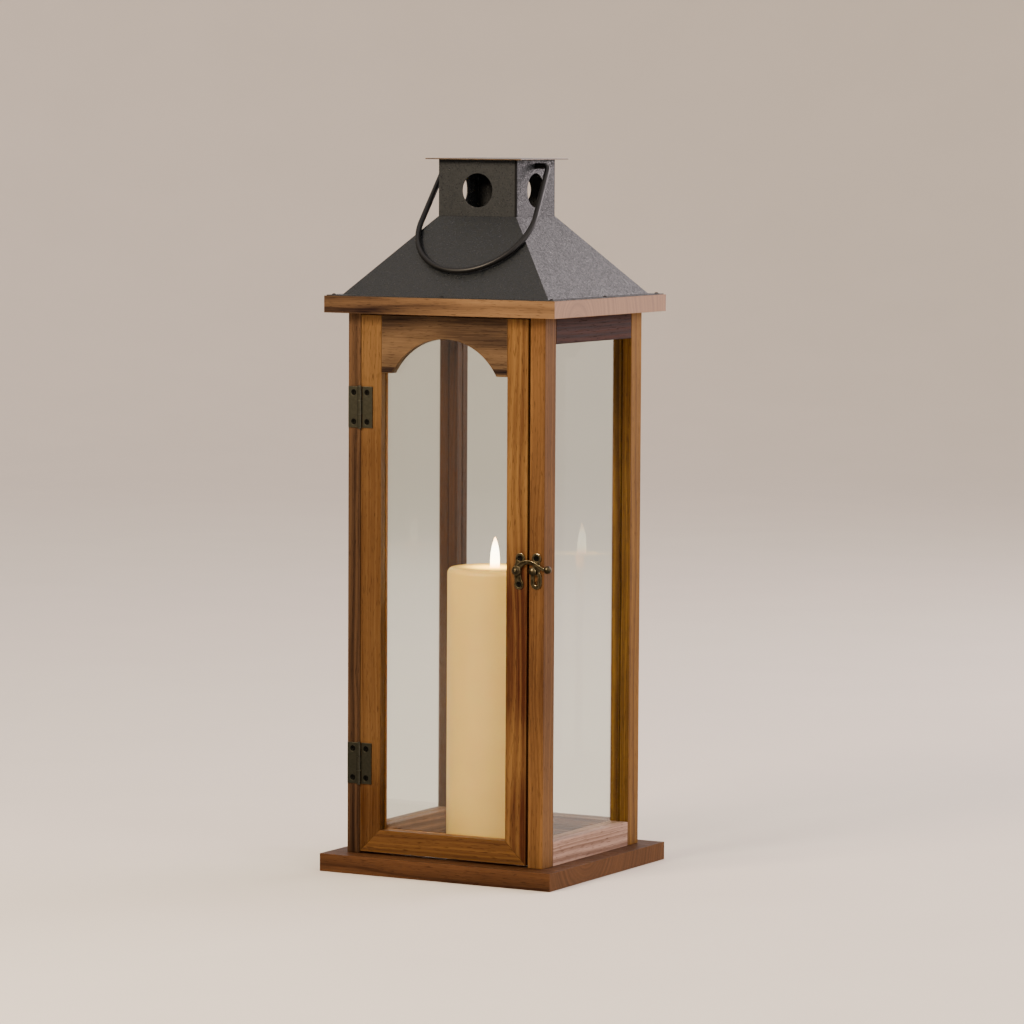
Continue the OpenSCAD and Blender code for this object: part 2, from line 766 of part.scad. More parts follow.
// A low dome, its flat side at y, facing forward
module dome(at, r, h, y) {
    ball_r = (r * r + h * h) / (2 * h);
    facing_front(at, y) rotate_extrude() intersection() {
        translate([0, h - ball_r]) circle(ball_r);
        square([r, h]);
    }
}

module latch_rivet() {
    color("#7d6a40") {
        rod_y(hook_at, rivet_d / 2, hook_front - hook_gap, front);
        dome(hook_at, rivet_d, head_h, hook_front - hook_gap);
    }
}

module latch_screws() {
    color("#4e4430") for (lobe = hook_lobes)
        facing_front(lobe, plate_y) screw(small_head_d, small_shank_d, small_screw_l);
}

module catch_plate() {
    loop_r = 5;
    slot_ends = [catch_slot + [0, slot_half], catch_slot - [0, slot_half]];
    color("#6e5a34") difference() {
        slab(plate_y, front) {
            translate(catch_lobe) circle(lobe_r);
            bar(catch_lobe, catch_slot + [0, slot_half], lobe_r * 0.75);
            bar(slot_ends[0], slot_ends[1], loop_r);
            bar(peg_at, catch_slot + [0, slot_half], peg_d);
        }
        slab(plate_y - cut, front + cut) bar(slot_ends[0], slot_ends[1], slot_r);
        facing_front(catch_lobe, plate_y) screw_hole(small_head_d, small_shank_d, plate_t + cut);
    }
}

module catch_peg() {
    color("#7d6a40") {
        rod_y(peg_at, peg_d / 2, hook_front - hook_gap, plate_y);
        dome(peg_at, peg_head_d / 2, head_h, hook_front - hook_gap);
    }
}

module catch_screws() {
    slot_head_d = small_shank_d + 0.6; // this screw's head sits inside the slot
    lift = 0.3; // its height above the slot's lower end
    color("#4e4430") {
        facing_front(catch_lobe, plate_y) screw(small_head_d, small_shank_d, small_screw_l);
        facing_front(catch_slot - [0, slot_half - lift], front)
            screw(slot_head_d, small_shank_d, small_screw_l);
    }
}

// ---- Candle ----

module candle_wax() {
    r = candle_d / 2;
    color("#efe0bd") translate([0, 0, base_t]) rotate_extrude() difference() {
        union() {
            square([r, candle_h - candle_edge_r]);
            square([r - candle_edge_r, candle_h]);
            translate([r - candle_edge_r, candle_h - candle_edge_r]) circle(candle_edge_r);
        }
        translate([-cut, -cut]) square([bore_r + cut, candle_h - wax_top + cut]);
        translate([-cut, 0]) square([flame_d / 2 + inner_gap + cut, candle_h + cut]);
        translate([-2 * r, -cut]) square([2 * r, candle_h + 2 * cut]);
    }
}

// Half the flame's width at a height from 0 to 1: full and round low down, drawn out to a point
function flame_r(t) = flame_d / 2 * pow(sin(180 * pow(t, 0.62)), 0.9);

module candle_flame() {
    steps = 20;
    least_r = 0.4;
    color("#ffd27a") translate([0, 0, candle_top]) {
        translate([0, 0, -lens_sunk]) cylinder(h = lens_sunk + flame_h / 4, r = stem_r - 0.5);
        rotate_extrude() polygon(concat(
            [[0, 0]],
            [for (i = [0 : steps - 1]) let (t = (i + 0.5) / steps) [max(flame_r(t), least_r), t * flame_h]],
            [[0, flame_h]]
        ));
    }
}

module candle_led() {
    color("#f4f1e2") translate([0, 0, stem_top - inner_gap - led_h]) cylinder(h = led_h, r = stem_bore_r);
}

module candle_housing() {
    top_z = cells_top + housing_wall;
    color("#e8e4da") difference() {
        union() {
            translate([0, 0, housing_z]) cylinder(h = top_z - housing_z, r = housing_r);
            translate([0, 0, top_z]) cylinder(h = stem_top - top_z, r = stem_r);
        }
        translate([0, 0, housing_z - cut])
            cylinder(h = cells_top - housing_z + cut, r = housing_r - housing_wall);
        translate([0, 0, cells_top - cut]) cylinder(h = stem_top - cells_top + 2 * cut, r = stem_bore_r);
    }
}

module candle_cells() {
    color("#4c5a52") for (s = [-1, 1]) translate([s * cell_x, 0, cell_z]) {
        cylinder(h = cell_h, d = cell_d);
        translate([0, 0, cell_h]) cylinder(h = button_h, d = cell_d / 3);
    }
}

// A spring under each battery, and the strip that joins their upper ends
module candle_contacts() {
    spring_r = 4;
    strip_half = [cell_x + spring_r, spring_r];
    strip_z = cells_top - contact_t;
    color("#b9b6ae") {
        for (s = [-1, 1]) translate([s * cell_x, 0, cover_top]) difference() {
            cylinder(h = cell_z - cover_top, r = spring_r);
            translate([0, 0, -cut]) cylinder(h = cell_z - cover_top + 2 * cut, r = spring_r - contact_t);
        }
        block([-strip_half[0], -strip_half[1], strip_z], [strip_half[0], strip_half[1], cells_top]);
    }
}

module candle_cover() {
    slot = [switch_w + switch_travel + 2 * inner_gap, switch_d + 2 * inner_gap] / 2;
    finger_room = 4; // round the slot, for a fingertip on the switch
    recess = slot + [finger_room, finger_room];
    color("#e8e4da") difference() {
        translate([0, 0, base_t]) cylinder(h = cover_h, r = housing_r);
        translate([0, 0, cover_top]) cylinder(h = cover_h, r = housing_r - housing_wall);
        translate([0, switch_y, 0]) {
            block([-recess[0], -recess[1], base_t - cut], [recess[0], recess[1], base_t + recess_h]);
            block([-slot[0], -slot[1], base_t - cut], [slot[0], slot[1], cover_top + cut]);
        }
    }
}

// The slide switch: a knob in the cover's recess, held by a wider plate inside
module candle_switch() {
    left = -(switch_w + switch_travel) / 2;
    knob_h = 1.4;
    wing = 1.2;
    plate_z = cover_top + inner_gap;
    plate_top = plate_z + 1;
    color("#2b2b2b") translate([0, switch_y, 0]) {
        block([left, -switch_d / 2, base_t + recess_h - knob_h], [left + switch_w, switch_d / 2, plate_top]);
        block(
            [left - wing, -switch_d / 2 - wing, plate_z],
            [left + switch_w + wing, switch_d / 2 + wing, plate_top]
        );
    }
}

base_board();
front_post(-1, reveal_hinge);  // post_front_left
front_post(1, reveal_latch);  // post_front_right
rear_post(-1);  // post_rear_left
rear_post(1);  // post_rear_right
side_rail(-1, base_t, low_rail_z, low_groove);  // low_rail_left
side_rail(1, base_t, low_rail_z, low_groove);  // low_rail_right
back_rail(base_t, low_rail_z, low_groove);  // low_rail_back
side_rail(-1, top_rail_z, rim_z, top_groove);  // top_rail_left
side_rail(1, top_rail_z, rim_z, top_groove);  // top_rail_right
back_rail(top_rail_z, rim_z, top_groove);  // top_rail_back
side_pane(-1);  // glass_left
side_pane(1);  // glass_right
glass_back();
top_board();
roof();
chimney();
cap();
base_screws();
top_board_screws();
roof_tacks();
bail();
door_stile_hinged();
door_stile_free();
door_low_rail();
door_arched_rail();
door_glass();
door_bead_hinged();
door_bead_free();
door_bead_low();
door_bead_top();
frame_leaf(hinge_z[1]);  // upper_hinge_frame_leaf
door_leaf(hinge_z[1]);  // upper_hinge_door_leaf
hinge_pin(hinge_z[1]);  // upper_hinge_pin
frame_leaf(hinge_z[0]);  // lower_hinge_frame_leaf
door_leaf(hinge_z[0]);  // lower_hinge_door_leaf
hinge_pin(hinge_z[0]);  // lower_hinge_pin
hinge_screws(-1);  // hinge_screws_frame
hinge_screws(1);  // hinge_screws_door
latch_plate();
latch_hook();
latch_rivet();
latch_screws();
catch_plate();
catch_peg();
catch_screws();
candle_wax();
candle_flame();
candle_led();
candle_housing();
candle_cells();
candle_contacts();
candle_cover();
candle_switch();
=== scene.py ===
import json
import math

import bmesh
import bpy
from mathutils import Matrix, Vector


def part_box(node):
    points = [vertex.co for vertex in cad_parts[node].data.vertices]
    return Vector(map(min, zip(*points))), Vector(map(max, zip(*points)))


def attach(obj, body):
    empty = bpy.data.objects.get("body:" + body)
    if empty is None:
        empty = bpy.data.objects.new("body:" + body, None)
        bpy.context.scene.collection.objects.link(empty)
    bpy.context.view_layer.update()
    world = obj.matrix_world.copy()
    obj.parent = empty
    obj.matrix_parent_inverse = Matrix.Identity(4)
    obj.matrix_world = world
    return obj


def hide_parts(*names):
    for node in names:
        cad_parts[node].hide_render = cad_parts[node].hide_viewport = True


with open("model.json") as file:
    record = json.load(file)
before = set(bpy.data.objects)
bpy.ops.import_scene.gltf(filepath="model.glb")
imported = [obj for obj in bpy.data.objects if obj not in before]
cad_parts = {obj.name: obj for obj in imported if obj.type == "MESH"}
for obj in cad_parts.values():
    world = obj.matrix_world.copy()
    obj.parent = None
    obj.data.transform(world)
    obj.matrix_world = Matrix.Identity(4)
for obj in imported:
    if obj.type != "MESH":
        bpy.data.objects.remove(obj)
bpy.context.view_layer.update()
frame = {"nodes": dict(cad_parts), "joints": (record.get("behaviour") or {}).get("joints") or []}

nodes = frame["nodes"]
scene = bpy.context.scene
mm = 0.001
noiseLow, noiseHigh = 0.3, 0.7  # most of a noise pattern lies between these


def linear(hexColour):
    channels = [int(hexColour[i:i + 2], 16) / 255 for i in (1, 3, 5)]
    return [c / 12.92 if c <= 0.04045 else ((c + 0.055) / 1.055) ** 2.4 for c in channels] + [1.0]


# The same colour, darker or lighter
def shade(colour, factor):
    return [factor * c for c in colour[:3]] + [1.0]


# Adds one node: props are its own settings, inputs are values or the sockets that feed it
def addNode(tree, kind, props=None, inputs=None):
    node = tree.nodes.new("ShaderNode" + kind)
    for name, value in (props or {}).items():
        setattr(node, name, value)
    for name, value in (inputs or {}).items():
        if isinstance(value, bpy.types.NodeSocket):
            tree.links.new(value, node.inputs[name])
        else:
            node.inputs[name].default_value = value
    return node


# A new material: one Principled shader on its output, and the piece's own coordinates in metres
def newMaterial(name, settings):
    material = bpy.data.materials.new(name)
    material.use_nodes = True
    tree = material.node_tree
    tree.nodes.clear()
    shader = addNode(tree, "BsdfPrincipled", inputs=settings)
    addNode(tree, "OutputMaterial", inputs={"Surface": shader.outputs[0]})
    place = addNode(tree, "TexCoord").outputs["Object"]
    return material, tree, shader, place


edgeTurn = {"starts": 0.995, "full": 0.86}  # cosine of how far an edge's rounding turns the surface


# Where an edge is: 0 on open faces, up to 1 within about `width` of a rounded or sharp edge
def nearEdges(tree, width):
    rounded = addNode(tree, "Bevel", {"samples": 4}, {"Radius": width}).outputs[0]
    facing = addNode(tree, "NewGeometry").outputs["Normal"]
    turn = addNode(tree, "VectorMath", {"operation": "DOT_PRODUCT"}, {0: rounded, 1: facing}).outputs["Value"]
    return addNode(tree, "MapRange", None, {
        "Value": turn, "From Min": edgeTurn["starts"], "From Max": edgeTurn["full"],
    }).outputs[0]


print("lantern: camera")
lens = {
    "focal": 169.8,      # millimetres: a long lens, so the posts stay parallel
    "distance": 4.073,
    "azimuth": 28.83,    # degrees round from the front, towards the right
    "height": 0.637,
    "tilt": 4.71,        # degrees down
    "roll": 0.315,
    "aside": 0.0141,
    "clipEnd": 60,
}
around = math.radians(lens["azimuth"])
toRight = Vector((math.cos(around), math.sin(around), 0))
toCamera = Vector((math.sin(around), -math.cos(around), 0))
camera = bpy.data.objects.new("Camera", bpy.data.cameras.new("Camera"))
camera.data.lens = lens["focal"]
camera.data.clip_end = lens["clipEnd"]
spot = toCamera * lens["distance"] + toRight * lens["aside"] + Vector((0, 0, lens["height"]))
heading = (
    Matrix.Rotation(around, 4, "Z")
    @ Matrix.Rotation(math.radians(90 - lens["tilt"]), 4, "X")
    @ Matrix.Rotation(math.radians(lens["roll"]), 4, "Z")
)
camera.matrix_world = Matrix.Translation(spot) @ heading
scene.collection.objects.link(camera)
scene.camera = camera


print("lantern: studio")
studio = {
    "floorColour": "#efe6d9",
    "floorMottle": 6.0,      # patches per metre
    "floorMottleShade": 0.94,
    "floorDrop": 0.2,        # mm below the base board, so that the two don't flicker
    "flatRadius": 4.2,       # metres of level floor round the lantern
    "sweepRadius": 2.4,      # then it curves up, so that no horizon shows
    "wallHeight": 4.5,
    "sweepSteps": 16,
    "turnSteps": 96,
    "skyDim": "#6f675e",     # in front and to the left, which the front panes mirror
    "skyBright": "#fff3f0",  # overhead, and behind to the right, which the side faces mirror
    "skyStrength": 1.25,
    "skyTowards": (0.45, 0.55, 0.7),
    "skySpread": (-0.5, 0.9),  # cosine from that way where the sky is dimmest and brightest
}


# A level floor that sweeps up into a round wall
def buildFloor():
    flat, sweep = studio["flatRadius"], studio["sweepRadius"]
    steps = studio["sweepSteps"]
    profile = [(0.0, 0.0), (flat / 2, 0.0), (flat, 0.0)]
    for i in range(1, steps + 1):
        a = math.pi / 2 * i / steps
        profile.append((flat + sweep * math.sin(a), sweep * (1 - math.cos(a))))
    profile.append((flat + sweep, studio["wallHeight"]))
    mesh = bpy.data.meshes.new("studioFloor")
    build = bmesh.new()
    line = [build.verts.new((x, 0, z)) for x, z in profile]
    edges = [build.edges.new(pair) for pair in zip(line, line[1:])]
    bmesh.ops.spin(
        build, geom=line + edges, axis=(0, 0, 1), cent=(0, 0, 0),
        steps=studio["turnSteps"], angle=2 * math.pi, use_duplicate=False,
    )
    bmesh.ops.remove_doubles(build, verts=build.verts, dist=mm)
    bmesh.ops.recalc_face_normals(build, faces=build.faces)
    for face in build.faces:
        face.smooth = True
    build.to_mesh(mesh)
    build.free()
    floor = bpy.data.objects.new("studioFloor", mesh)
    scene.collection.objects.link(floor)
    # Matt painted board: even, with the faintest mottle so that it isn't dead flat
    material, tree, shader, place = newMaterial("mattPaintedFloor", {"Roughness": 0.75, "IOR": 1.45})
    mottle = addNode(tree, "TexNoise", None, {
        "Vector": place, "Scale": studio["floorMottle"], "Detail": 3.0,
    }).outputs[0]
    paint = linear(studio["floorColour"])
    mixed = addNode(tree, "Mix", {"data_type": "RGBA"}, {
        0: mottle, 6: paint, 7: shade(paint, studio["floorMottleShade"]),
    })
    tree.links.new(mixed.outputs[2], shader.inputs["Base Color"])
    floor.data.materials.append(material)
    floor.location.z = -studio["floorDrop"] * mm
    floor.visible_glossy = False  # the panes mirror the sky alone, so they stay clear


def buildSky():
    world = bpy.data.worlds.new("studioSky")
    world.use_nodes = True
    scene.world = world
    tree = world.node_tree
    tree.nodes.clear()
    way = addNode(tree, "TexCoord").outputs["Generated"]
    towards = Vector(studio["skyTowards"]).normalized()
    facing = addNode(tree, "VectorMath", {"operation": "DOT_PRODUCT"}, {0: way, 1: towards}).outputs["Value"]
    dimmest, brightest = studio["skySpread"]
    share = addNode(tree, "MapRange", {"interpolation_type": "SMOOTHSTEP"}, {
        "Value": facing, "From Min": dimmest, "From Max": brightest,
    }).outputs[0]
    tint = addNode(tree, "Mix", {"data_type": "RGBA"}, {
        0: share, 6: linear(studio["skyDim"]), 7: linear(studio["skyBright"]),
    }).outputs[2]
    sky = addNode(tree, "Background", None, {"Color": tint, "Strength": studio["skyStrength"]})
    addNode(tree, "OutputWorld", None, {"Surface": sky.outputs[0]})


softboxes = {
    # name: (where, aimed at, width, height, watts, colour), metres
    "keyLight": ((-0.5, -1.9, 1.5), (0, 0, 0.42), 0.8, 0.8, 62, "#ffe9cc"),
    "backLight": ((1.45, 2.2, 1.5), (0, 0, 0.55), 1.8, 1.7, 80, "#ffeef2"),
    "fillLight": ((2.1, -0.6, 1.0), (0, 0, 0.35), 1.2, 1.2, 14, "#fff0e2"),
}


def hangSoftboxes():
    for name, (where, aim, width, height, watts, colour) in softboxes.items():
        light = bpy.data.lights.new(name, "AREA")
        light.shape = "RECTANGLE"
        light.size = width
        light.size_y = height
        light.energy = watts
        light.color = linear(colour)[:3]
        lamp = bpy.data.objects.new(name, light)
        lamp.location = where
        lamp.rotation_mode = "QUATERNION"
        lamp.rotation_quaternion = (Vector(aim) - Vector(where)).to_track_quat("-Z", "Y")
        lamp.visible_camera = False
        scene.collection.objects.link(lamp)


buildFloor()
buildSky()
hangSoftboxes()


print("lantern: boards")
# Each board: way of the grain, its darker and lighter tone, ring width in mm, where the heart of the
# tree lay (mm across the grain, from the board's middle), and how strongly the rings show
boards = {
    "base_board": ("x", "#331e0f", "#5e3e24", 3.4, (26, -38), 0.8),
    "post_front_left": ("z", "#2a1a0e", "#523b26", 2.6, (30, 44), 0.7),
    "post_front_right": ("z", "#482d15", "#72502a", 3.2, (-34, 40), 0.75),
    "post_rear_left": ("z", "#2b1503", "#502906", 2.8, (44, -30), 0.8),
    "post_rear_right": ("z", "#4f3416", "#896227", 3.0, (-40, -36), 0.8),
    "low_rail_left": ("y", "#55351e", "#8f6440", 3.0, (18, 40), 0.7),
    # painted sheen: paler and greyer than the other low rails, as the light grazes the right side
    "low_rail_right": ("y", "#6d5142", "#b49584", 3.0, (16, -44), 0.7),
    "low_rail_back": ("x", "#55351e", "#8f6440", 3.2, (20, 38), 0.7),
    "top_rail_left": ("y", "#4c301d", "#84593a", 3.0, (18, 36), 0.7),
    # painted shade: much darker than the other top rails, as under the top board's overhang
    "top_rail_right": ("y", "#200a01", "#3b1804", 3.0, (22, -40), 0.7),
    "top_rail_back": ("x", "#4c301d", "#84593a", 3.2, (24, 38), 0.7),
    "top_board": ("x", "#38271a", "#74583b", 4.2, (-14, -60), 0.9),
    "door_stile_hinged": ("z", "#472c10", "#6a4d2a", 3.6, (60, 30), 0.45),
    "door_stile_free": ("z", "#503217", "#815f31", 2.8, (-30, 52), 0.55),
    "door_low_rail": ("x", "#472d15", "#6b4922", 2.6, (44, 30), 0.7),
    "door_arched_rail": ("x", "#2d2017", "#745b3f", 7.0, (20, 66), 0.95),
    "door_bead_hinged": ("z", "#6b4220", "#a06c38", 2.4, (20, 16), 0.6),
    "door_bead_free": ("z", "#6b4220", "#a06c38", 2.4, (-20, 16), 0.6),
    "door_bead_low": ("x", "#6b4220", "#a06c38", 2.4, (20, 16), 0.6),
    "door_bead_top": ("x", "#5f3a1c", "#94622f", 2.4, (20, 18), 0.6),
}
woodGrain = {
    "boardShift": (0.37, 0.53, 0.71),  # metres from one board's place in the grain to the next one's
    "waver": 5.0,                      # mm that the rings wander
    "waverRate": (24, 24, 5),          # how often per metre, across and along the board
    "ringContrast": (0.32, 0.68),
    "fibreWidth": 0.9,                 # mm: drawn coarser than real fibres, which are too fine to show
    "fibreLength": 38.0,
    "fibreShare": 0.9,
    "poreWidth": 0.7,                  # mm
    "poreLength": 9.0,
    "poreEdges": (0.6, 0.7),           # the noise level where a pore starts, and where it is full
    "poreShare": 0.55,
    "poreShade": 0.35,
    "stainPatch": 45.0,                # mm: how the stain has soaked in unevenly
    "stainDrawn": 0.3,                 # the patches are this much slower along the grain
    "stainShare": 0.9,
    "toneRange": (-0.25, 1.3),         # how far past the two tones it may go
    "endShade": 0.6,
    "endTurn": (0.8, 0.95),            # cosine from the grain's way where end grain starts and is full
    "endShare": 0.38,                  # how far end grain goes to its own tone
    "edgeWorn": 0.3,
    "edgeReach": 1.3,                  # mm
    "easedEdge": 0.6,                  # mm: sanded corners
    "satin": (0.4, 0.58),              # roughness from the closest fibres to the loosest
    "poreDull": 0.2,
    "poreDepth": 0.8,
    "relief": 0.15,                    # mm
    "reliefShare": 0.35,
}
grainTurn = {"x": (0, math.pi / 2, 0), "y": (-math.pi / 2, 0, 0), "z": (0, 0, 0)}
grainWay = {"x": (1, 0, 0), "y": (0, 1, 0), "z": (0, 0, 1)}


far = 400             # mm: past every board's ends
stretchFade = (1.25, 0.4)  # shares of the reach where a stretch begins and where it is full
# Darker (below 0) and paler (above 0) stretches of a board, partly uneven stain and partly painted light
# and shade, such as tall boards paler at the top and darker at the foot as if lit from above: where its
# middle lies and how far it reaches, in mm from the board's own middle, and how much it adds
stainAndPaintedLight = {
    "post_front_left": [((0, 0, 190), (far, far, 80), 0.3), ((0, 0, -230), (far, far, 110), -0.32)],
    "door_stile_hinged": [
        ((0, 0, 200), (far, far, 80), 0.45), ((0, 0, -20), (far, far, 90), -0.2),
        ((0, 0, -230), (far, far, 90), -0.5),
    ],
    "door_stile_free": [((0, 0, -45), (far, far, 85), -0.6), ((0, 0, -210), (far, far, 70), -0.45)],
    "post_front_right": [
        ((0, 0, 190), (far, far, 80), 0.2), ((0, 0, -30), (far, far, 100), -0.3),
        # its side face: a painted shadow of the top board at its top, and painted light at its foot
        ((9.5, 0, 190), (5, far, 90), -0.3), ((9.5, 0, -215), (5, far, 60), 0.3),
    ],
    # its front face, which the lantern shades, darkened as painted shade
    "post_rear_right": [((0, -9.5, 0), (far, 5, far), -0.25)],
    "door_arched_rail": [((-45, 0, -15), (25, far, 14), -0.2)],
    "top_board": [((-90, 0, 0), (60, far, far), -0.35), ((90, 0, 0), (90, far, far), 0.45)],
}


# The tone of the sawn ends: on the top board pale and greyish, a painted sheen of the light that grazes
# the rim's side; on the base board soaked golden. Others are only darker
endToneAndSheen = {"top_board": "#b79a8c", "base_board": "#613c08"}


# How often a pattern repeats per metre, when one piece of it is this many mm wide and long
def perMetre(width, length):
    return 1 / (width * mm), 1 / (width * mm), 1 / (length * mm)


# Adds one soft-edged stretch to the tone of a board
def addStretch(tree, own, centre, reach, lift, tone):
    away = addNode(tree, "VectorMath", {"operation": "SUBTRACT"}, {
        0: own, 1: [c * mm for c in centre],
    }).outputs[0]
    share = addNode(tree, "VectorMath", {"operation": "DIVIDE"}, {
        0: away, 1: [r * mm for r in reach],
    }).outputs[0]
    gap = addNode(tree, "VectorMath", {"operation": "LENGTH"}, {0: share}).outputs["Value"]
    starts, full = stretchFade
    amount = addNode(tree, "MapRange", {"interpolation_type": "SMOOTHSTEP"}, {
        "Value": gap, "From Min": starts, "From Max": full, "To Min": 0.0, "To Max": lift,
    }).outputs[0]
    return addNode(tree, "Math", {"operation": "ADD"}, {0: tone, 1: amount}).outputs[0]


# Acacia, sanded, stained and oiled: open pores, dark and golden rings, a low satin shine
def oiledAcacia(board):
    way, dark, light, ringWidth, heart, ringStrength = boards[board]
    seed = sorted(boards).index(board)
    low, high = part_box(board)
    middle = (low + high) / 2
    material, tree, shader, place = newMaterial("oiledAcacia." + board, {
        "IOR": 1.48, "Specular IOR Level": 0.1,
    })
    # The board's own coordinates, turned so that its grain runs along Z
    own = addNode(tree, "VectorMath", {"operation": "SUBTRACT"}, {0: place, 1: middle}).outputs[0]
    along = addNode(tree, "VectorRotate", {"rotation_type": "EULER_XYZ"}, {
        "Vector": own, "Rotation": grainTurn[way],
    }).outputs[0]
    shifted = addNode(tree, "VectorMath", {"operation": "ADD"}, {
        0: along, 1: [seed * step for step in woodGrain["boardShift"]],
    }).outputs[0]
    # Rings: the distance from the heart, made to wander slowly along the board
    slow = addNode(tree, "VectorMath", {"operation": "MULTIPLY"}, {
        0: shifted, 1: woodGrain["waverRate"],
    }).outputs[0]
    wander = addNode(tree, "TexNoise", None, {"Vector": slow, "Scale": 1.0, "Detail": 2.0, "Roughness": 0.4})
    heartAt = addNode(tree, "VectorMath", {"operation": "SUBTRACT"}, {
        0: along, 1: (heart[0] * mm, heart[1] * mm, 0),
    }).outputs[0]
    across = addNode(tree, "VectorMath", {"operation": "MULTIPLY"}, {0: heartAt, 1: (1, 1, 0)}).outputs[0]
    radius = addNode(tree, "VectorMath", {"operation": "LENGTH"}, {0: across}).outputs["Value"]
    wandered = addNode(tree, "Math", {"operation": "MULTIPLY_ADD"}, {
        0: wander.outputs[0], 1: 2 * woodGrain["waver"] * mm, 2: radius,
    }).outputs[0]
    count = addNode(tree, "Math", {"operation": "DIVIDE"}, {0: wandered, 1: ringWidth * mm}).outputs[0]
    rings = addNode(tree, "TexNoise", {"noise_dimensions": "1D"}, {
        "W": count, "Scale": 1.0, "Detail": 2.5, "Roughness": 0.55,
    }).outputs[0]
    faint, strong = woodGrain["ringContrast"]
    ringTone = addNode(tree, "MapRange", None, {
        "Value": rings, "From Min": faint, "From Max": strong,
    }).outputs[0]
    # Fibres: fine streaks drawn out along the grain
    fibreAt = addNode(tree, "VectorMath", {"operation": "MULTIPLY"}, {
        0: shifted, 1: perMetre(woodGrain["fibreWidth"], woodGrain["fibreLength"]),
    }).outputs[0]
    fibres = addNode(tree, "TexNoise", None, {
        "Vector": fibreAt, "Scale": 1.0, "Detail": 3.0, "Roughness": 0.65, "Distortion": 0.2,
    }).outputs[0]
    # Pores: short dark dashes
    poreAt = addNode(tree, "VectorMath", {"operation": "MULTIPLY"}, {
        0: shifted, 1: perMetre(woodGrain["poreWidth"], woodGrain["poreLength"]),
    }).outputs[0]
    poreNoise = addNode(tree, "TexNoise", None, {"Vector": poreAt, "Scale": 1.0, "Detail": 1.0}).outputs[0]
    starts, full = woodGrain["poreEdges"]
    pores = addNode(tree, "MapRange", {"interpolation_type": "SMOOTHSTEP"}, {
        "Value": poreNoise, "From Min": starts, "From Max": full,
    }).outputs[0]
    # Stain: soaked in unevenly, in long soft patches
    patchAt = addNode(tree, "VectorMath", {"operation": "MULTIPLY"}, {
        0: shifted, 1: (1, 1, woodGrain["stainDrawn"]),
    }).outputs[0]
    patches = addNode(tree, "TexNoise", None, {
        "Vector": patchAt, "Scale": 1 / (woodGrain["stainPatch"] * mm), "Detail": 3.0, "Roughness": 0.5,
    }).outputs[0]
    # Tone from rings, fibres and stain together, each of the last two evenly round its middle
    fibrePart = addNode(tree, "Math", {"operation": "MULTIPLY_ADD"}, {
        0: fibres, 1: woodGrain["fibreShare"], 2: -woodGrain["fibreShare"] / 2,
    }).outputs[0]
    patchPart = addNode(tree, "Math", {"operation": "MULTIPLY_ADD"}, {
        0: patches, 1: woodGrain["stainShare"], 2: -woodGrain["stainShare"] / 2,
    }).outputs[0]
    ringPart = addNode(tree, "Math", {"operation": "MULTIPLY_ADD"}, {
        0: ringTone, 1: ringStrength, 2: 0.5 - ringStrength / 2,
    }).outputs[0]
    streaked = addNode(tree, "Math", {"operation": "ADD"}, {0: ringPart, 1: fibrePart}).outputs[0]
    for centre, reach, lift in stainAndPaintedLight.get(board, []):
        streaked = addStretch(tree, own, centre, reach, lift, streaked)
    tone = addNode(tree, "Math", {"operation": "ADD"}, {0: streaked, 1: patchPart}).outputs[0]
    darkest, palest = woodGrain["toneRange"]
    held = addNode(tree, "Clamp", None, {"Value": tone, "Min": darkest, "Max": palest}).outputs[0]
    wood = addNode(tree, "Mix", {"data_type": "RGBA", "clamp_factor": False}, {
        0: held, 6: linear(dark), 7: linear(light),
    }).outputs[2]
    poreShare = addNode(tree, "Math", {"operation": "MULTIPLY"}, {
        0: pores, 1: woodGrain["poreShare"],
    }).outputs[0]
    pored = addNode(tree, "Mix", {"data_type": "RGBA"}, {
        0: poreShare, 6: wood, 7: shade(linear(dark), woodGrain["poreShade"]),
    }).outputs[2]
    # End grain has its own tone, and the corners are rubbed a little lighter
    objectNormal = addNode(tree, "TexCoord").outputs["Normal"]
    lengthwise = addNode(tree, "VectorMath", {"operation": "DOT_PRODUCT"}, {
        0: objectNormal, 1: grainWay[way],
    }).outputs["Value"]
    ends = addNode(tree, "Math", {"operation": "ABSOLUTE"}, {0: lengthwise}).outputs[0]
    starts, full = woodGrain["endTurn"]
    endShare = addNode(tree, "MapRange", None, {
        "Value": ends, "From Min": starts, "From Max": full, "To Max": woodGrain["endShare"],
    }).outputs[0]
    endTone = linear(endToneAndSheen[board]) if board in endToneAndSheen else shade(linear(dark), woodGrain["endShade"])
    ended = addNode(tree, "Mix", {"data_type": "RGBA"}, {0: endShare, 6: pored, 7: endTone}).outputs[2]
    worn = addNode(tree, "Math", {"operation": "MULTIPLY"}, {
        0: nearEdges(tree, woodGrain["edgeReach"] * mm), 1: woodGrain["edgeWorn"],
    }).outputs[0]
    final = addNode(tree, "Mix", {"data_type": "RGBA"}, {0: worn, 6: ended, 7: linear(light)}).outputs[2]
    tree.links.new(final, shader.inputs["Base Color"])
    close, loose = woodGrain["satin"]
    shine = addNode(tree, "MapRange", None, {
        "Value": fibres, "From Min": noiseLow, "From Max": noiseHigh, "To Min": close, "To Max": loose,
    }).outputs[0]
    dulled = addNode(tree, "Math", {"operation": "MULTIPLY_ADD"}, {
        0: pores, 1: woodGrain["poreDull"], 2: shine,
    }).outputs[0]
    tree.links.new(dulled, shader.inputs["Roughness"])
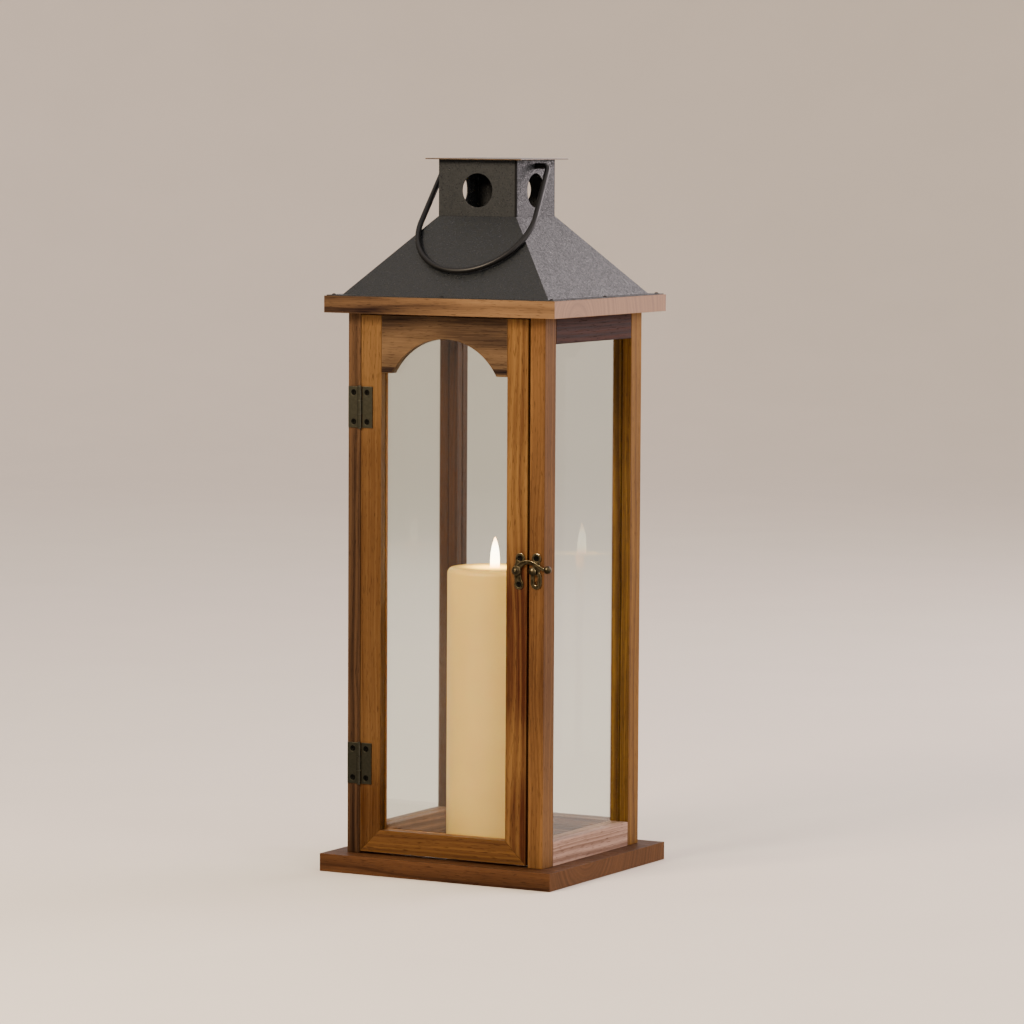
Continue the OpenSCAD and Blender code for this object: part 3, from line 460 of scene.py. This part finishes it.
    # Relief: fibres stand up a little, pores are open
    relief = addNode(tree, "Math", {"operation": "MULTIPLY_ADD"}, {
        0: pores, 1: -woodGrain["poreDepth"], 2: fibres,
    }).outputs[0]
    bump = addNode(tree, "Bump", None, {
        "Height": relief, "Strength": woodGrain["reliefShare"], "Distance": woodGrain["relief"] * mm,
    })
    tree.links.new(bump.outputs[0], shader.inputs["Normal"])
    return material


easing = {
    "weld": 0.01,    # mm
    "flatten": 0.5,  # degrees: faces flatter than this to each other become one
    "corner": 35,    # degrees: edges sharper than this are eased
    "segments": 2,
    "evenness": 80,
}


# Rounds a carried-over node's edges without touching its mesh
def easeEdges(node, width):
    weld = node.modifiers.new("weld", "WELD")
    weld.merge_threshold = easing["weld"] * mm
    flatten = node.modifiers.new("flatten", "DECIMATE")
    flatten.decimate_type = "DISSOLVE"
    flatten.angle_limit = math.radians(easing["flatten"])
    bevel = node.modifiers.new("easedEdges", "BEVEL")
    bevel.width = width
    bevel.segments = easing["segments"]
    bevel.limit_method = "ANGLE"
    bevel.angle_limit = math.radians(easing["corner"])
    bevel.use_clamp_overlap = True
    smooth = node.modifiers.new("evenNormals", "WEIGHTED_NORMAL")
    smooth.weight = easing["evenness"]
    smooth.keep_sharp = True


# Gives a carried-over node its only material
def finishNode(name, material):
    node = nodes[name]
    node.data.materials.clear()
    node.data.materials.append(material)
    return node


for board in boards:
    easeEdges(finishNode(board, oiledAcacia(board)), woodGrain["easedEdge"] * mm)


print("lantern: sheet metal")
powder = {
    "colour": "#101518",
    "fleck": "#57555b",
    "grit": 0.9,               # mm: drawn coarser than the real 0.1 mm grit, which is too fine to show
    "grain": 1.0,              # mm: the flecks, drawn coarser for the same reason
    "fleckShare": 0.1,
    "fleckPick": (0.8, 0.98),  # only the palest grains show as flecks
    "cloudRate": 14.0,         # soft patches per metre
    "cloudShade": (0.88, 1.14),
    "wornReach": 0.8,          # mm
    "reliefDepth": 0.2,        # mm
    "seamColour": "#030303",
    "seamWidth": 1.5,          # mm: the corner where the chimney's folded sheet meets itself
    "seamFade": 1.3,
}
sheets = {
    # What each sheet has of its own: roughness from dullest to brightest grain, relief, colour and
    # share of its edges (worn paler on the roof and chimney, a painted reflection on the cap), and folded
    # edge in mm
    "roof": ((0.75, 0.24), 0.6, ("#57555b", 0.12), 0.5),
    "chimney": ((0.75, 0.24), 0.6, ("#57555b", 0.12), 0.5),
    "cap": ((0.42, 0.28), 0.1, ("#9c7a50", 0.85), 0.2),  # smoother, with a painted tan reflection as a line along its edge
}


# Steel sheet with a fine sandy powder coat: dark, matt, with tiny bright flecks where it faces the light
def sandyPowderCoat(name, seed, seam):
    (dull, bright), relief, (edgeWearAndReflectionColour, edgeWearAndReflectionShare), folded = sheets[name]
    material, tree, shader, place = newMaterial("sandyPowderCoat." + name, {"IOR": 1.5})
    moved = addNode(tree, "VectorMath", {"operation": "ADD"}, {
        0: place, 1: (seed, 2 * seed, 3 * seed),
    }).outputs[0]
    grit = addNode(tree, "TexNoise", None, {
        "Vector": moved, "Scale": 1 / (powder["grit"] * mm), "Detail": 2.0, "Roughness": 0.7,
    }).outputs[0]
    grain = addNode(tree, "TexVoronoi", None, {"Vector": moved, "Scale": 1 / (powder["grain"] * mm)})
    pick = addNode(tree, "SeparateColor", None, {0: grain.outputs["Color"]}).outputs[0]
    starts, full = powder["fleckPick"]
    flecks = addNode(tree, "MapRange", None, {
        "Value": pick, "From Min": starts, "From Max": full, "To Max": powder["fleckShare"],
    }).outputs[0]
    cloud = addNode(tree, "TexNoise", None, {
        "Vector": moved, "Scale": powder["cloudRate"], "Detail": 3.0,
    }).outputs[0]
    coat = linear(powder["colour"])
    darker, paler = powder["cloudShade"]
    ground = addNode(tree, "Mix", {"data_type": "RGBA"}, {
        0: cloud, 6: shade(coat, darker), 7: shade(coat, paler),
    }).outputs[2]
    flecked = addNode(tree, "Mix", {"data_type": "RGBA"}, {
        0: flecks, 6: ground, 7: linear(powder["fleck"]),
    }).outputs[2]
    # Edges: worn paler on the roof and chimney; on the cap, a painted tan reflection
    worn = addNode(tree, "Math", {"operation": "MULTIPLY"}, {
        0: nearEdges(tree, powder["wornReach"] * mm), 1: edgeWearAndReflectionShare,
    }).outputs[0]
    final = addNode(tree, "Mix", {"data_type": "RGBA"}, {
        0: worn, 6: flecked, 7: linear(edgeWearAndReflectionColour),
    }).outputs[2]
    gloss = addNode(tree, "MapRange", None, {"Value": pick, "To Min": dull, "To Max": bright}).outputs[0]
    if seam:
        away = addNode(tree, "VectorMath", {"operation": "SUBTRACT"}, {0: place, 1: seam}).outputs[0]
        flat = addNode(tree, "VectorMath", {"operation": "MULTIPLY"}, {0: away, 1: (1, 1, 0)}).outputs[0]
        gap = addNode(tree, "VectorMath", {"operation": "LENGTH"}, {0: flat}).outputs["Value"]
        shut = addNode(tree, "MapRange", None, {
            "Value": gap, "From Min": powder["seamFade"] * powder["seamWidth"] * mm,
            "From Max": powder["seamWidth"] * mm,
        }).outputs[0]
        final = addNode(tree, "Mix", {"data_type": "RGBA"}, {
            0: shut, 6: final, 7: linear(powder["seamColour"]),
        }).outputs[2]
        gloss = addNode(tree, "Math", {"operation": "MAXIMUM"}, {0: gloss, 1: shut}).outputs[0]
    tree.links.new(final, shader.inputs["Base Color"])
    tree.links.new(gloss, shader.inputs["Roughness"])
    bump = addNode(tree, "Bump", None, {
        "Height": grit, "Strength": relief, "Distance": powder["reliefDepth"] * mm,
    })
    tree.links.new(bump.outputs[0], shader.inputs["Normal"])
    easeEdges(finishNode(name, material), folded * mm)


chimneyLow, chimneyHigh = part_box("chimney")
seams = {"chimney": Vector((chimneyHigh.x, chimneyLow.y, 0))}
for seed, name in enumerate(sheets):
    sandyPowderCoat(name, seed + 1.0, seams.get(name))


print("lantern: bail")
wire = {
    "colour": "#070707",
    "scuffShade": 1.5,
    "scuff": 18.0,     # mm: patches that the coat has taken thinner or thicker
    "drawnLine": 0.8,  # mm
    "halfGloss": (0.38, 0.52),
    "relief": 0.1,     # mm
    "reliefShare": 0.15,
}


# Drawn steel wire dipped in black enamel: nearly black, half glossy, faint drawing lines under the coat
def dippedBlackEnamel():
    material, tree, shader, place = newMaterial("dippedBlackEnamel", {
        "IOR": 1.5, "Specular IOR Level": 0.35, "Coat Weight": 0.04, "Coat Roughness": 0.3,
    })
    scuffs = addNode(tree, "TexNoise", None, {
        "Vector": place, "Scale": 1 / (wire["scuff"] * mm), "Detail": 4.0, "Roughness": 0.6,
    }).outputs[0]
    lines = addNode(tree, "TexNoise", None, {
        "Vector": place, "Scale": 1 / (wire["drawnLine"] * mm), "Detail": 2.0,
    }).outputs[0]
    dark = linear(wire["colour"])
    tint = addNode(tree, "Mix", {"data_type": "RGBA"}, {
        0: scuffs, 6: dark, 7: shade(dark, wire["scuffShade"]),
    }).outputs[2]
    tree.links.new(tint, shader.inputs["Base Color"])
    smooth, rough = wire["halfGloss"]
    gloss = addNode(tree, "MapRange", None, {
        "Value": scuffs, "From Min": noiseLow, "From Max": noiseHigh, "To Min": smooth, "To Max": rough,
    }).outputs[0]
    tree.links.new(gloss, shader.inputs["Roughness"])
    bump = addNode(tree, "Bump", None, {
        "Height": lines, "Strength": wire["reliefShare"], "Distance": wire["relief"] * mm,
    })
    tree.links.new(bump.outputs[0], shader.inputs["Normal"])
    return material


finishNode("bail", dippedBlackEnamel())


print("lantern: hardware")
metals = {
    # name: bare metal, patina, share of patina, roughness from and to, mottle in mm, eased edge in mm
    "bronzedSteel": ("#77735f", "#34342e", 0.65, 0.3, 0.5, 2.2, 0.15),
    # darker all over: partly dark steel, partly painted shade of the driver recesses, so the screws show as
    # dark dots
    "darkenedScrewSteel": ("#3c3a34", "#0e0e0d", 0.85, 0.4, 0.6, 1.0, 0.1),
    "antiqueBrass": ("#efd9a6", "#1b140b", 0.9, 0.2, 0.42, 3.0, 0.3),
    "zincPlatedSteel": ("#b9bcc0", "#85888c", 0.35, 0.25, 0.42, 1.2, 0.1),
    "blackenedSteel": ("#4a4845", "#1d1c1b", 0.6, 0.4, 0.6, 1.4, 0.1),
}
rubbing = {
    "spread": 0.12,  # how unevenly the patina has taken
    "reach": 2.2,    # rubbed bright over this many eased edges
    "share": 0.9,
    "relief": 0.08,  # mm
    "reliefShare": 0.2,
}


# Plated metal with its patina: dark in the recesses, rubbed bright along every edge
def rubbedMetal(kind):
    bare, patina, share, smooth, rough, mottle, eased = metals[kind]
    material, tree, shader, place = newMaterial(kind, {"Metallic": 1.0})
    spots = addNode(tree, "TexNoise", None, {
        "Vector": place, "Scale": 1 / (mottle * mm), "Detail": 4.0, "Roughness": 0.6,
    }).outputs[0]
    spread = addNode(tree, "MapRange", None, {
        "Value": spots, "From Min": noiseLow, "From Max": noiseHigh,
        "To Min": share - rubbing["spread"], "To Max": share + rubbing["spread"],
    }).outputs[0]
    rubbed = nearEdges(tree, rubbing["reach"] * eased * mm)
    kept = addNode(tree, "Math", {"operation": "MULTIPLY_ADD", "use_clamp": True}, {
        0: rubbed, 1: -rubbing["share"], 2: spread,
    }).outputs[0]
    tint = addNode(tree, "Mix", {"data_type": "RGBA"}, {
        0: kept, 6: linear(bare), 7: linear(patina),
    }).outputs[2]
    tree.links.new(tint, shader.inputs["Base Color"])
    gloss = addNode(tree, "MapRange", None, {"Value": kept, "To Min": smooth, "To Max": rough}).outputs[0]
    tree.links.new(gloss, shader.inputs["Roughness"])
    bump = addNode(tree, "Bump", None, {
        "Height": spots, "Strength": rubbing["reliefShare"], "Distance": rubbing["relief"] * mm,
    })
    tree.links.new(bump.outputs[0], shader.inputs["Normal"])
    return material, eased * mm


hardware = {
    "bronzedSteel": [
        end + part for end in ("upper_hinge_", "lower_hinge_") for part in ("frame_leaf", "door_leaf", "pin")
    ],
    "darkenedScrewSteel": ["hinge_screws_frame", "hinge_screws_door", "latch_screws", "catch_screws"],
    "antiqueBrass": [
        "latch_plate", "latch_hook", "latch_rivet", "catch_plate", "catch_peg",
    ],
    "zincPlatedSteel": ["base_screws", "top_board_screws", "candle_contacts"],
    "blackenedSteel": ["roof_tacks"],
}
for kind, names in hardware.items():
    metal, eased = rubbedMetal(kind)
    for name in names:
        easeEdges(finishNode(name, metal), eased)


print("lantern: latch hook")
hook = {
    # The arm's middle line: mm to the right of the pivot and above it, and half its width there
    "arm": [
        (0.8, 0.6, 2.4), (3.2, 4.2, 2.2), (7.4, 6.9, 1.9), (12.2, 7.5, 1.7),
        (17.0, 6.3, 1.7), (21.0, 3.9, 1.6), (24.8, 2.3, 1.4), (28.4, 2.0, 1.3),
    ],
    "armSteps": 6,
    # Across the arm, from its lower to its upper edge, and how far it stands out: a bead runs along the top
    "section": [
        (-1, 0), (-1, 0.8), (-0.75, 1.15), (0.1, 1.05),
        (0.45, 1.3), (0.65, 1.9), (0.9, 1.8), (1, 1.1), (1, 0),
    ],
    "hubRadius": 4.1,
    "boreRadius": 1.56,
    "hubThick": 1.6,
    "hubSlope": (0.7, 0.3),   # the share of its thickness where the rim slopes in, and how far in mm
    "turnedSides": 40,
    "knobAt": (29.8, 2.0),
    "knobRadius": 3.3,
    "knobOut": 1.15,      # the knob's middle in front of the hook's back face
    "knobSteps": 14,
    "knobPole": 0.02,     # a pinhole that closes when the shells are fused
    "castGrain": 0.22,    # mm: the size of cell that the shells are fused at
}


# Points of a smooth run through the given ones
def smoothRun(points, steps):
    run = []
    ends = [points[0]] + points + [points[-1]]
    for a, b, c, d in zip(ends, ends[1:], ends[2:], ends[3:]):
        for i in range(steps):
            t = i / steps
            run.append(tuple(
                q + 0.5 * t * (r - p + t * (2 * p - 5 * q + 4 * r - s + t * (3 * q - p - 3 * r + s)))
                for p, q, r, s in zip(a, b, c, d)
            ))
    return run + [points[-1]]


# A round body turned about the Y axis through `at`; the outline gives radius and how far out
def turned(build, at, backY, outline):
    sides = hook["turnedSides"]
    rows = []
    for radius, out in outline:
        row = []
        for j in range(sides):
            a = 2 * math.pi * j / sides
            row.append(build.verts.new((
                at[0] + radius * math.cos(a) * mm, backY - out * mm, at[1] + radius * math.sin(a) * mm,
            )))
        rows.append(row)
    for inner, outer in zip(rows, rows[1:] + rows[:1]):
        for j in range(sides):
            k = (j + 1) % sides
            build.faces.new((inner[j], inner[k], outer[k], outer[j]))


# The hook as one casting: a hub with its bore, an arm that arches over the peg, and a ball to lift it by
def buildHook():
    pivot = next(joint for joint in frame["joints"] if joint["name"] == "hook_pivot")["pos_m"]
    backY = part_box("latch_hook")[1].y
    build = bmesh.new()
    thick = hook["hubThick"]
    slopeAt, slopeIn = hook["hubSlope"]
    turned(build, (pivot[0], pivot[2]), backY, [
        (hook["boreRadius"], 0), (hook["hubRadius"], 0), (hook["hubRadius"], slopeAt * thick),
        (hook["hubRadius"] - slopeIn, thick), (hook["boreRadius"], thick),
    ])
    knobAt = (pivot[0] + hook["knobAt"][0] * mm, pivot[2] + hook["knobAt"][1] * mm)
    radius, out = hook["knobRadius"], hook["knobOut"]
    low = -math.asin(out / radius)
    ball = []
    for i in range(hook["knobSteps"] + 1):
        a = low + (math.pi / 2 - hook["knobPole"] - low) * i / hook["knobSteps"]
        ball.append((radius * math.cos(a), out + radius * math.sin(a)))
    turned(build, knobAt, backY, [(hook["knobPole"], 0)] + ball)
    rings = []
    line = smoothRun(hook["arm"], hook["armSteps"])
    for before, here, after in zip(line[:1] + line, line, line[1:] + line[-1:]):
        way = Vector((after[0] - before[0], after[1] - before[1])).normalized()
        ring = []
        for across, stands in hook["section"]:
            x = here[0] - way.y * across * here[2]
            z = here[1] + way.x * across * here[2]
            ring.append(build.verts.new((pivot[0] + x * mm, backY - stands * mm, pivot[2] + z * mm)))
        rings.append(ring)
    for ring, following in zip(rings, rings[1:]):
        for j in range(len(ring)):
            k = (j + 1) % len(ring)
            build.faces.new((ring[j], ring[k], following[k], following[j]))
    build.faces.new(list(reversed(rings[0])))
    build.faces.new(rings[-1])
    bmesh.ops.recalc_face_normals(build, faces=build.faces)
    mesh = bpy.data.meshes.new("latchHookCasting")
    build.to_mesh(mesh)
    build.free()
    casting = bpy.data.objects.new("latchHookCasting", mesh)
    scene.collection.objects.link(casting)
    fuse = casting.modifiers.new("fuse", "REMESH")
    fuse.mode = "VOXEL"
    fuse.voxel_size = hook["castGrain"] * mm
    fuse.use_smooth_shade = True
    mesh.materials.append(bpy.data.materials["antiqueBrass"])
    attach(casting, "hook")
    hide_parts("latch_hook")


buildHook()


print("lantern: glass")
panes = {
    "tint": "#f3f8f4",
    "ripple": 60.0,      # mm from one wave to the next
    "rippleDepth": 0.2,  # mm
    "rippleShare": 0.05,
    "names": ["glass_left", "glass_right", "glass_back", "door_glass"],
}


# Float glass: clear, almost colourless, with a hair of ripple that shows only in reflections
def floatGlass():
    material, tree, shader, place = newMaterial("floatGlass", {
        "Base Color": linear(panes["tint"]), "Roughness": 0.01, "IOR": 1.5, "Transmission Weight": 1.0,
        "Specular IOR Level": 0.2,
    })
    ripple = addNode(tree, "TexNoise", None, {
        "Vector": place, "Scale": 1 / (panes["ripple"] * mm), "Detail": 1.0,
    }).outputs[0]
    bump = addNode(tree, "Bump", None, {
        "Height": ripple, "Strength": panes["rippleShare"], "Distance": panes["rippleDepth"] * mm,
    })
    tree.links.new(bump.outputs[0], shader.inputs["Normal"])
    # Lamps shine straight through, as they do through a thin pane
    output = next(node for node in tree.nodes if node.type == "OUTPUT_MATERIAL")
    lamps = addNode(tree, "LightPath").outputs["Is Shadow Ray"]
    clear = addNode(tree, "BsdfTransparent", None, {"Color": linear(panes["tint"])}).outputs[0]
    through = addNode(tree, "MixShader", None, {0: lamps, 1: shader.outputs[0], 2: clear})
    tree.links.new(through.outputs[0], output.inputs["Surface"])
    return material


glass = floatGlass()
for name in panes["names"]:
    finishNode(name, glass)


print("lantern: candle")
candle = {
    "wax": "#d8b15a",
    "waxShade": "#caa04e",
    "glow": "#ffba2a",
    "cloudRate": 28.0,      # milky patches per metre
    "pitRate": 260.0,       # pits per metre
    "pitShare": 0.25,
    "waxRelief": 0.6,       # mm
    "waxReliefShare": 0.25,
    "glowAbove": 5.0,       # mm from the wax up to the middle of its glow
    "glowFull": 8.0,        # mm round that middle where the wide glow is full
    "footGlowFull": 5.0,         # and where the strong one at the flame's foot is
    "glowReach": 80.0,      # mm below the flame that the painted glow reaches into the wax
    "glowStrength": 0.26,
    "footGlowReach": 36.0,       # mm round the flame's foot where the painted glow on the wax is strongest
    "footGlowStrength": 8.5,
    "flameStrength": 14.0,
    "flameRadius": 4.3,     # mm
    "flameSteps": 28,
    "flameSides": 48,
    "flameFoot": 2.0,       # mm that the flame stands in the wax
    "flameSwell": (0.92, 0.3),  # its width at the foot, and how much it gains on the way up
    "flamePoint": 0.85,     # a smaller power gives a blunter tip
    "flameLean": 0.5,       # mm
    "flameBend": 2.2,       # radians of a wave over its height
    "flameFlute": 0.03,     # three shallow flutes, as a share of its width
    "flameTwist": 5.0,      # radians that the flutes turn over its height
    # Its colour from the foot to the tip
    "flameColours": [(0.0, "#ff9a3c"), (0.16, "#ffe9bd"), (0.62, "#fff6dc"), (1.0, "#ffb054")],
}
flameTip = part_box("candle_flame")[1].z
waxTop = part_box("candle_wax")[1].z


# Real wax, cast: milky, soft to the light, with a painted glow near the flame that stands in for its light
def castWax():
    material, tree, shader, place = newMaterial("castWax", {
        "IOR": 1.44, "Roughness": 0.42, "Subsurface Weight": 0.5,
        "Subsurface Radius": (1.0, 0.55, 0.3), "Subsurface Scale": 8 * mm,
    })
    clouds = addNode(tree, "TexNoise", None, {
        "Vector": place, "Scale": candle["cloudRate"], "Detail": 4.0, "Roughness": 0.55,
    }).outputs[0]
    tint = addNode(tree, "Mix", {"data_type": "RGBA"}, {
        0: clouds, 6: linear(candle["waxShade"]), 7: linear(candle["wax"]),
    }).outputs[2]
    tree.links.new(tint, shader.inputs["Base Color"])
    # A painted glow, strongest round the flame's foot, standing in for the flame's light falling on the wax
    wick = Vector((0, 0, waxTop + candle["glowAbove"] * mm))
    gap = addNode(tree, "VectorMath", {"operation": "DISTANCE"}, {0: place, 1: wick}).outputs["Value"]
    glow = addNode(tree, "MapRange", {"interpolation_type": "SMOOTHERSTEP"}, {
        "Value": gap, "From Min": candle["glowReach"] * mm, "From Max": candle["glowFull"] * mm,
        "To Min": 0.0, "To Max": candle["glowStrength"],
    }).outputs[0]
    footGlow = addNode(tree, "MapRange", {"interpolation_type": "SMOOTHERSTEP"}, {
        "Value": gap, "From Min": candle["footGlowReach"] * mm, "From Max": candle["footGlowFull"] * mm,
        "To Min": 0.0, "To Max": candle["footGlowStrength"],
    }).outputs[0]
    lit = addNode(tree, "Math", {"operation": "ADD"}, {0: glow, 1: footGlow}).outputs[0]
    tree.links.new(lit, shader.inputs["Emission Strength"])
    shader.inputs["Emission Color"].default_value = linear(candle["glow"])
    pits = addNode(tree, "TexNoise", None, {
        "Vector": place, "Scale": candle["pitRate"], "Detail": 3.0,
    }).outputs[0]
    ripple = addNode(tree, "Math", {"operation": "MULTIPLY_ADD"}, {
        0: pits, 1: candle["pitShare"], 2: clouds,
    }).outputs[0]
    bump = addNode(tree, "Bump", None, {
        "Height": ripple, "Strength": candle["waxReliefShare"], "Distance": candle["waxRelief"] * mm,
    })
    tree.links.new(bump.outputs[0], shader.inputs["Normal"])
    return material


# Half the flame's width at a height from 0 to 1: full at its foot, drawn out to a point
def flameWidth(t):
    foot, gain = candle["flameSwell"]
    return candle["flameRadius"] * mm * (foot + gain * t) * (1 - t ** 2) ** candle["flamePoint"]


# How far its middle line leans to the right at a height from 0 to 1
def flameLean(t):
    return candle["flameLean"] * mm * math.sin(candle["flameBend"] * t)


def buildFlame():
    build = bmesh.new()
    foot = waxTop - candle["flameFoot"] * mm
    steps, sides = candle["flameSteps"], candle["flameSides"]
    rows = []
    for i in range(steps):
        t = i / steps
        height = foot + t * (flameTip - foot)
        row = []
        for j in range(sides):
            a = 2 * math.pi * j / sides
            flute = 1 + candle["flameFlute"] * math.sin(3 * a + candle["flameTwist"] * t)
            spread = flameWidth(t) * flute
            row.append(build.verts.new((spread * math.cos(a) + flameLean(t), spread * math.sin(a), height)))
        rows.append(row)
    tip = build.verts.new((flameLean(1), 0, flameTip))
    for lower, upper in zip(rows, rows[1:]):
        for j in range(sides):
            k = (j + 1) % sides
            build.faces.new((lower[j], lower[k], upper[k], upper[j]))
    for j in range(sides):
        build.faces.new((rows[-1][j], rows[-1][(j + 1) % sides], tip))
    build.faces.new(list(reversed(rows[0])))
    for face in build.faces:
        face.smooth = True
    mesh = bpy.data.meshes.new("flameLens")
    build.to_mesh(mesh)
    build.free()
    flame = bpy.data.objects.new("flameLens", mesh)
    scene.collection.objects.link(flame)
    # Frosted acrylic lens lit from below: white hot in its middle, amber at the foot and the tip
    material, tree, shader, place = newMaterial("frostedAcrylicFlame", {
        "Base Color": linear("#ffe6b8"), "Roughness": 0.35, "IOR": 1.49,
    })
    height = addNode(tree, "SeparateXYZ", None, {0: place}).outputs["Z"]
    share = addNode(tree, "MapRange", None, {
        "Value": height, "From Min": waxTop, "From Max": flameTip,
    }).outputs[0]
    ramp = addNode(tree, "ValToRGB", None, {0: share})
    stops = candle["flameColours"]
    while len(ramp.color_ramp.elements) < len(stops):
        ramp.color_ramp.elements.new(0.5)
    for element, (position, colour) in zip(ramp.color_ramp.elements, stops):
        element.position = position
        element.color = linear(colour)
    tree.links.new(ramp.outputs[0], shader.inputs["Emission Color"])
    shader.inputs["Emission Strength"].default_value = candle["flameStrength"]
    mesh.materials.append(material)
    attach(flame, "frame")
    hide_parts("candle_flame")
    flame.visible_glossy = False  # no second flame floats in the panes


finishNode("candle_wax", castWax()).visible_glossy = False
buildFlame()


print("lantern: inner pieces")
mouldings = {
    # name: colour, roughness, texture in mm, eased edge in mm, nodes
    "ivoryMouldedPlastic": ("#ddd3bd", 0.45, 0.6, 0.3, ["candle_housing", "candle_cover"]),
    "blackMouldedPlastic": ("#1c1c1d", 0.38, 0.5, 0.2, ["candle_switch"]),
    "clearEpoxyLed": ("#e8e2c4", 0.12, 0.8, 0.2, ["candle_led"]),
    "printedCellSleeve": ("#47564e", 0.3, 1.2, 0.3, ["candle_cells"]),
}
sparkTexture = {
    "shade": 0.9,
    "gloss": (0.06, 0.08),  # how far the roughness falls and rises over the texture
    "relief": 0.06,         # mm
    "reliefShare": 0.2,
}


# Moulded or shrunk plastic: one colour with a fine spark-eroded texture that breaks up its shine
def mouldedPlastic(kind):
    colour, rough, texture, eased, names = mouldings[kind]
    material, tree, shader, place = newMaterial(kind, {"IOR": 1.5})
    grain = addNode(tree, "TexNoise", None, {
        "Vector": place, "Scale": 1 / (texture * mm), "Detail": 3.0, "Roughness": 0.6,
    }).outputs[0]
    base = linear(colour)
    tint = addNode(tree, "Mix", {"data_type": "RGBA"}, {
        0: grain, 6: shade(base, sparkTexture["shade"]), 7: base,
    }).outputs[2]
    tree.links.new(tint, shader.inputs["Base Color"])
    falls, rises = sparkTexture["gloss"]
    gloss = addNode(tree, "MapRange", None, {
        "Value": grain, "From Min": noiseLow, "From Max": noiseHigh,
        "To Min": rough - falls, "To Max": rough + rises,
    }).outputs[0]
    tree.links.new(gloss, shader.inputs["Roughness"])
    bump = addNode(tree, "Bump", None, {
        "Height": grain, "Strength": sparkTexture["reliefShare"], "Distance": sparkTexture["relief"] * mm,
    })
    tree.links.new(bump.outputs[0], shader.inputs["Normal"])
    for name in names:
        easeEdges(finishNode(name, material), eased * mm)


for kind in mouldings:
    mouldedPlastic(kind)
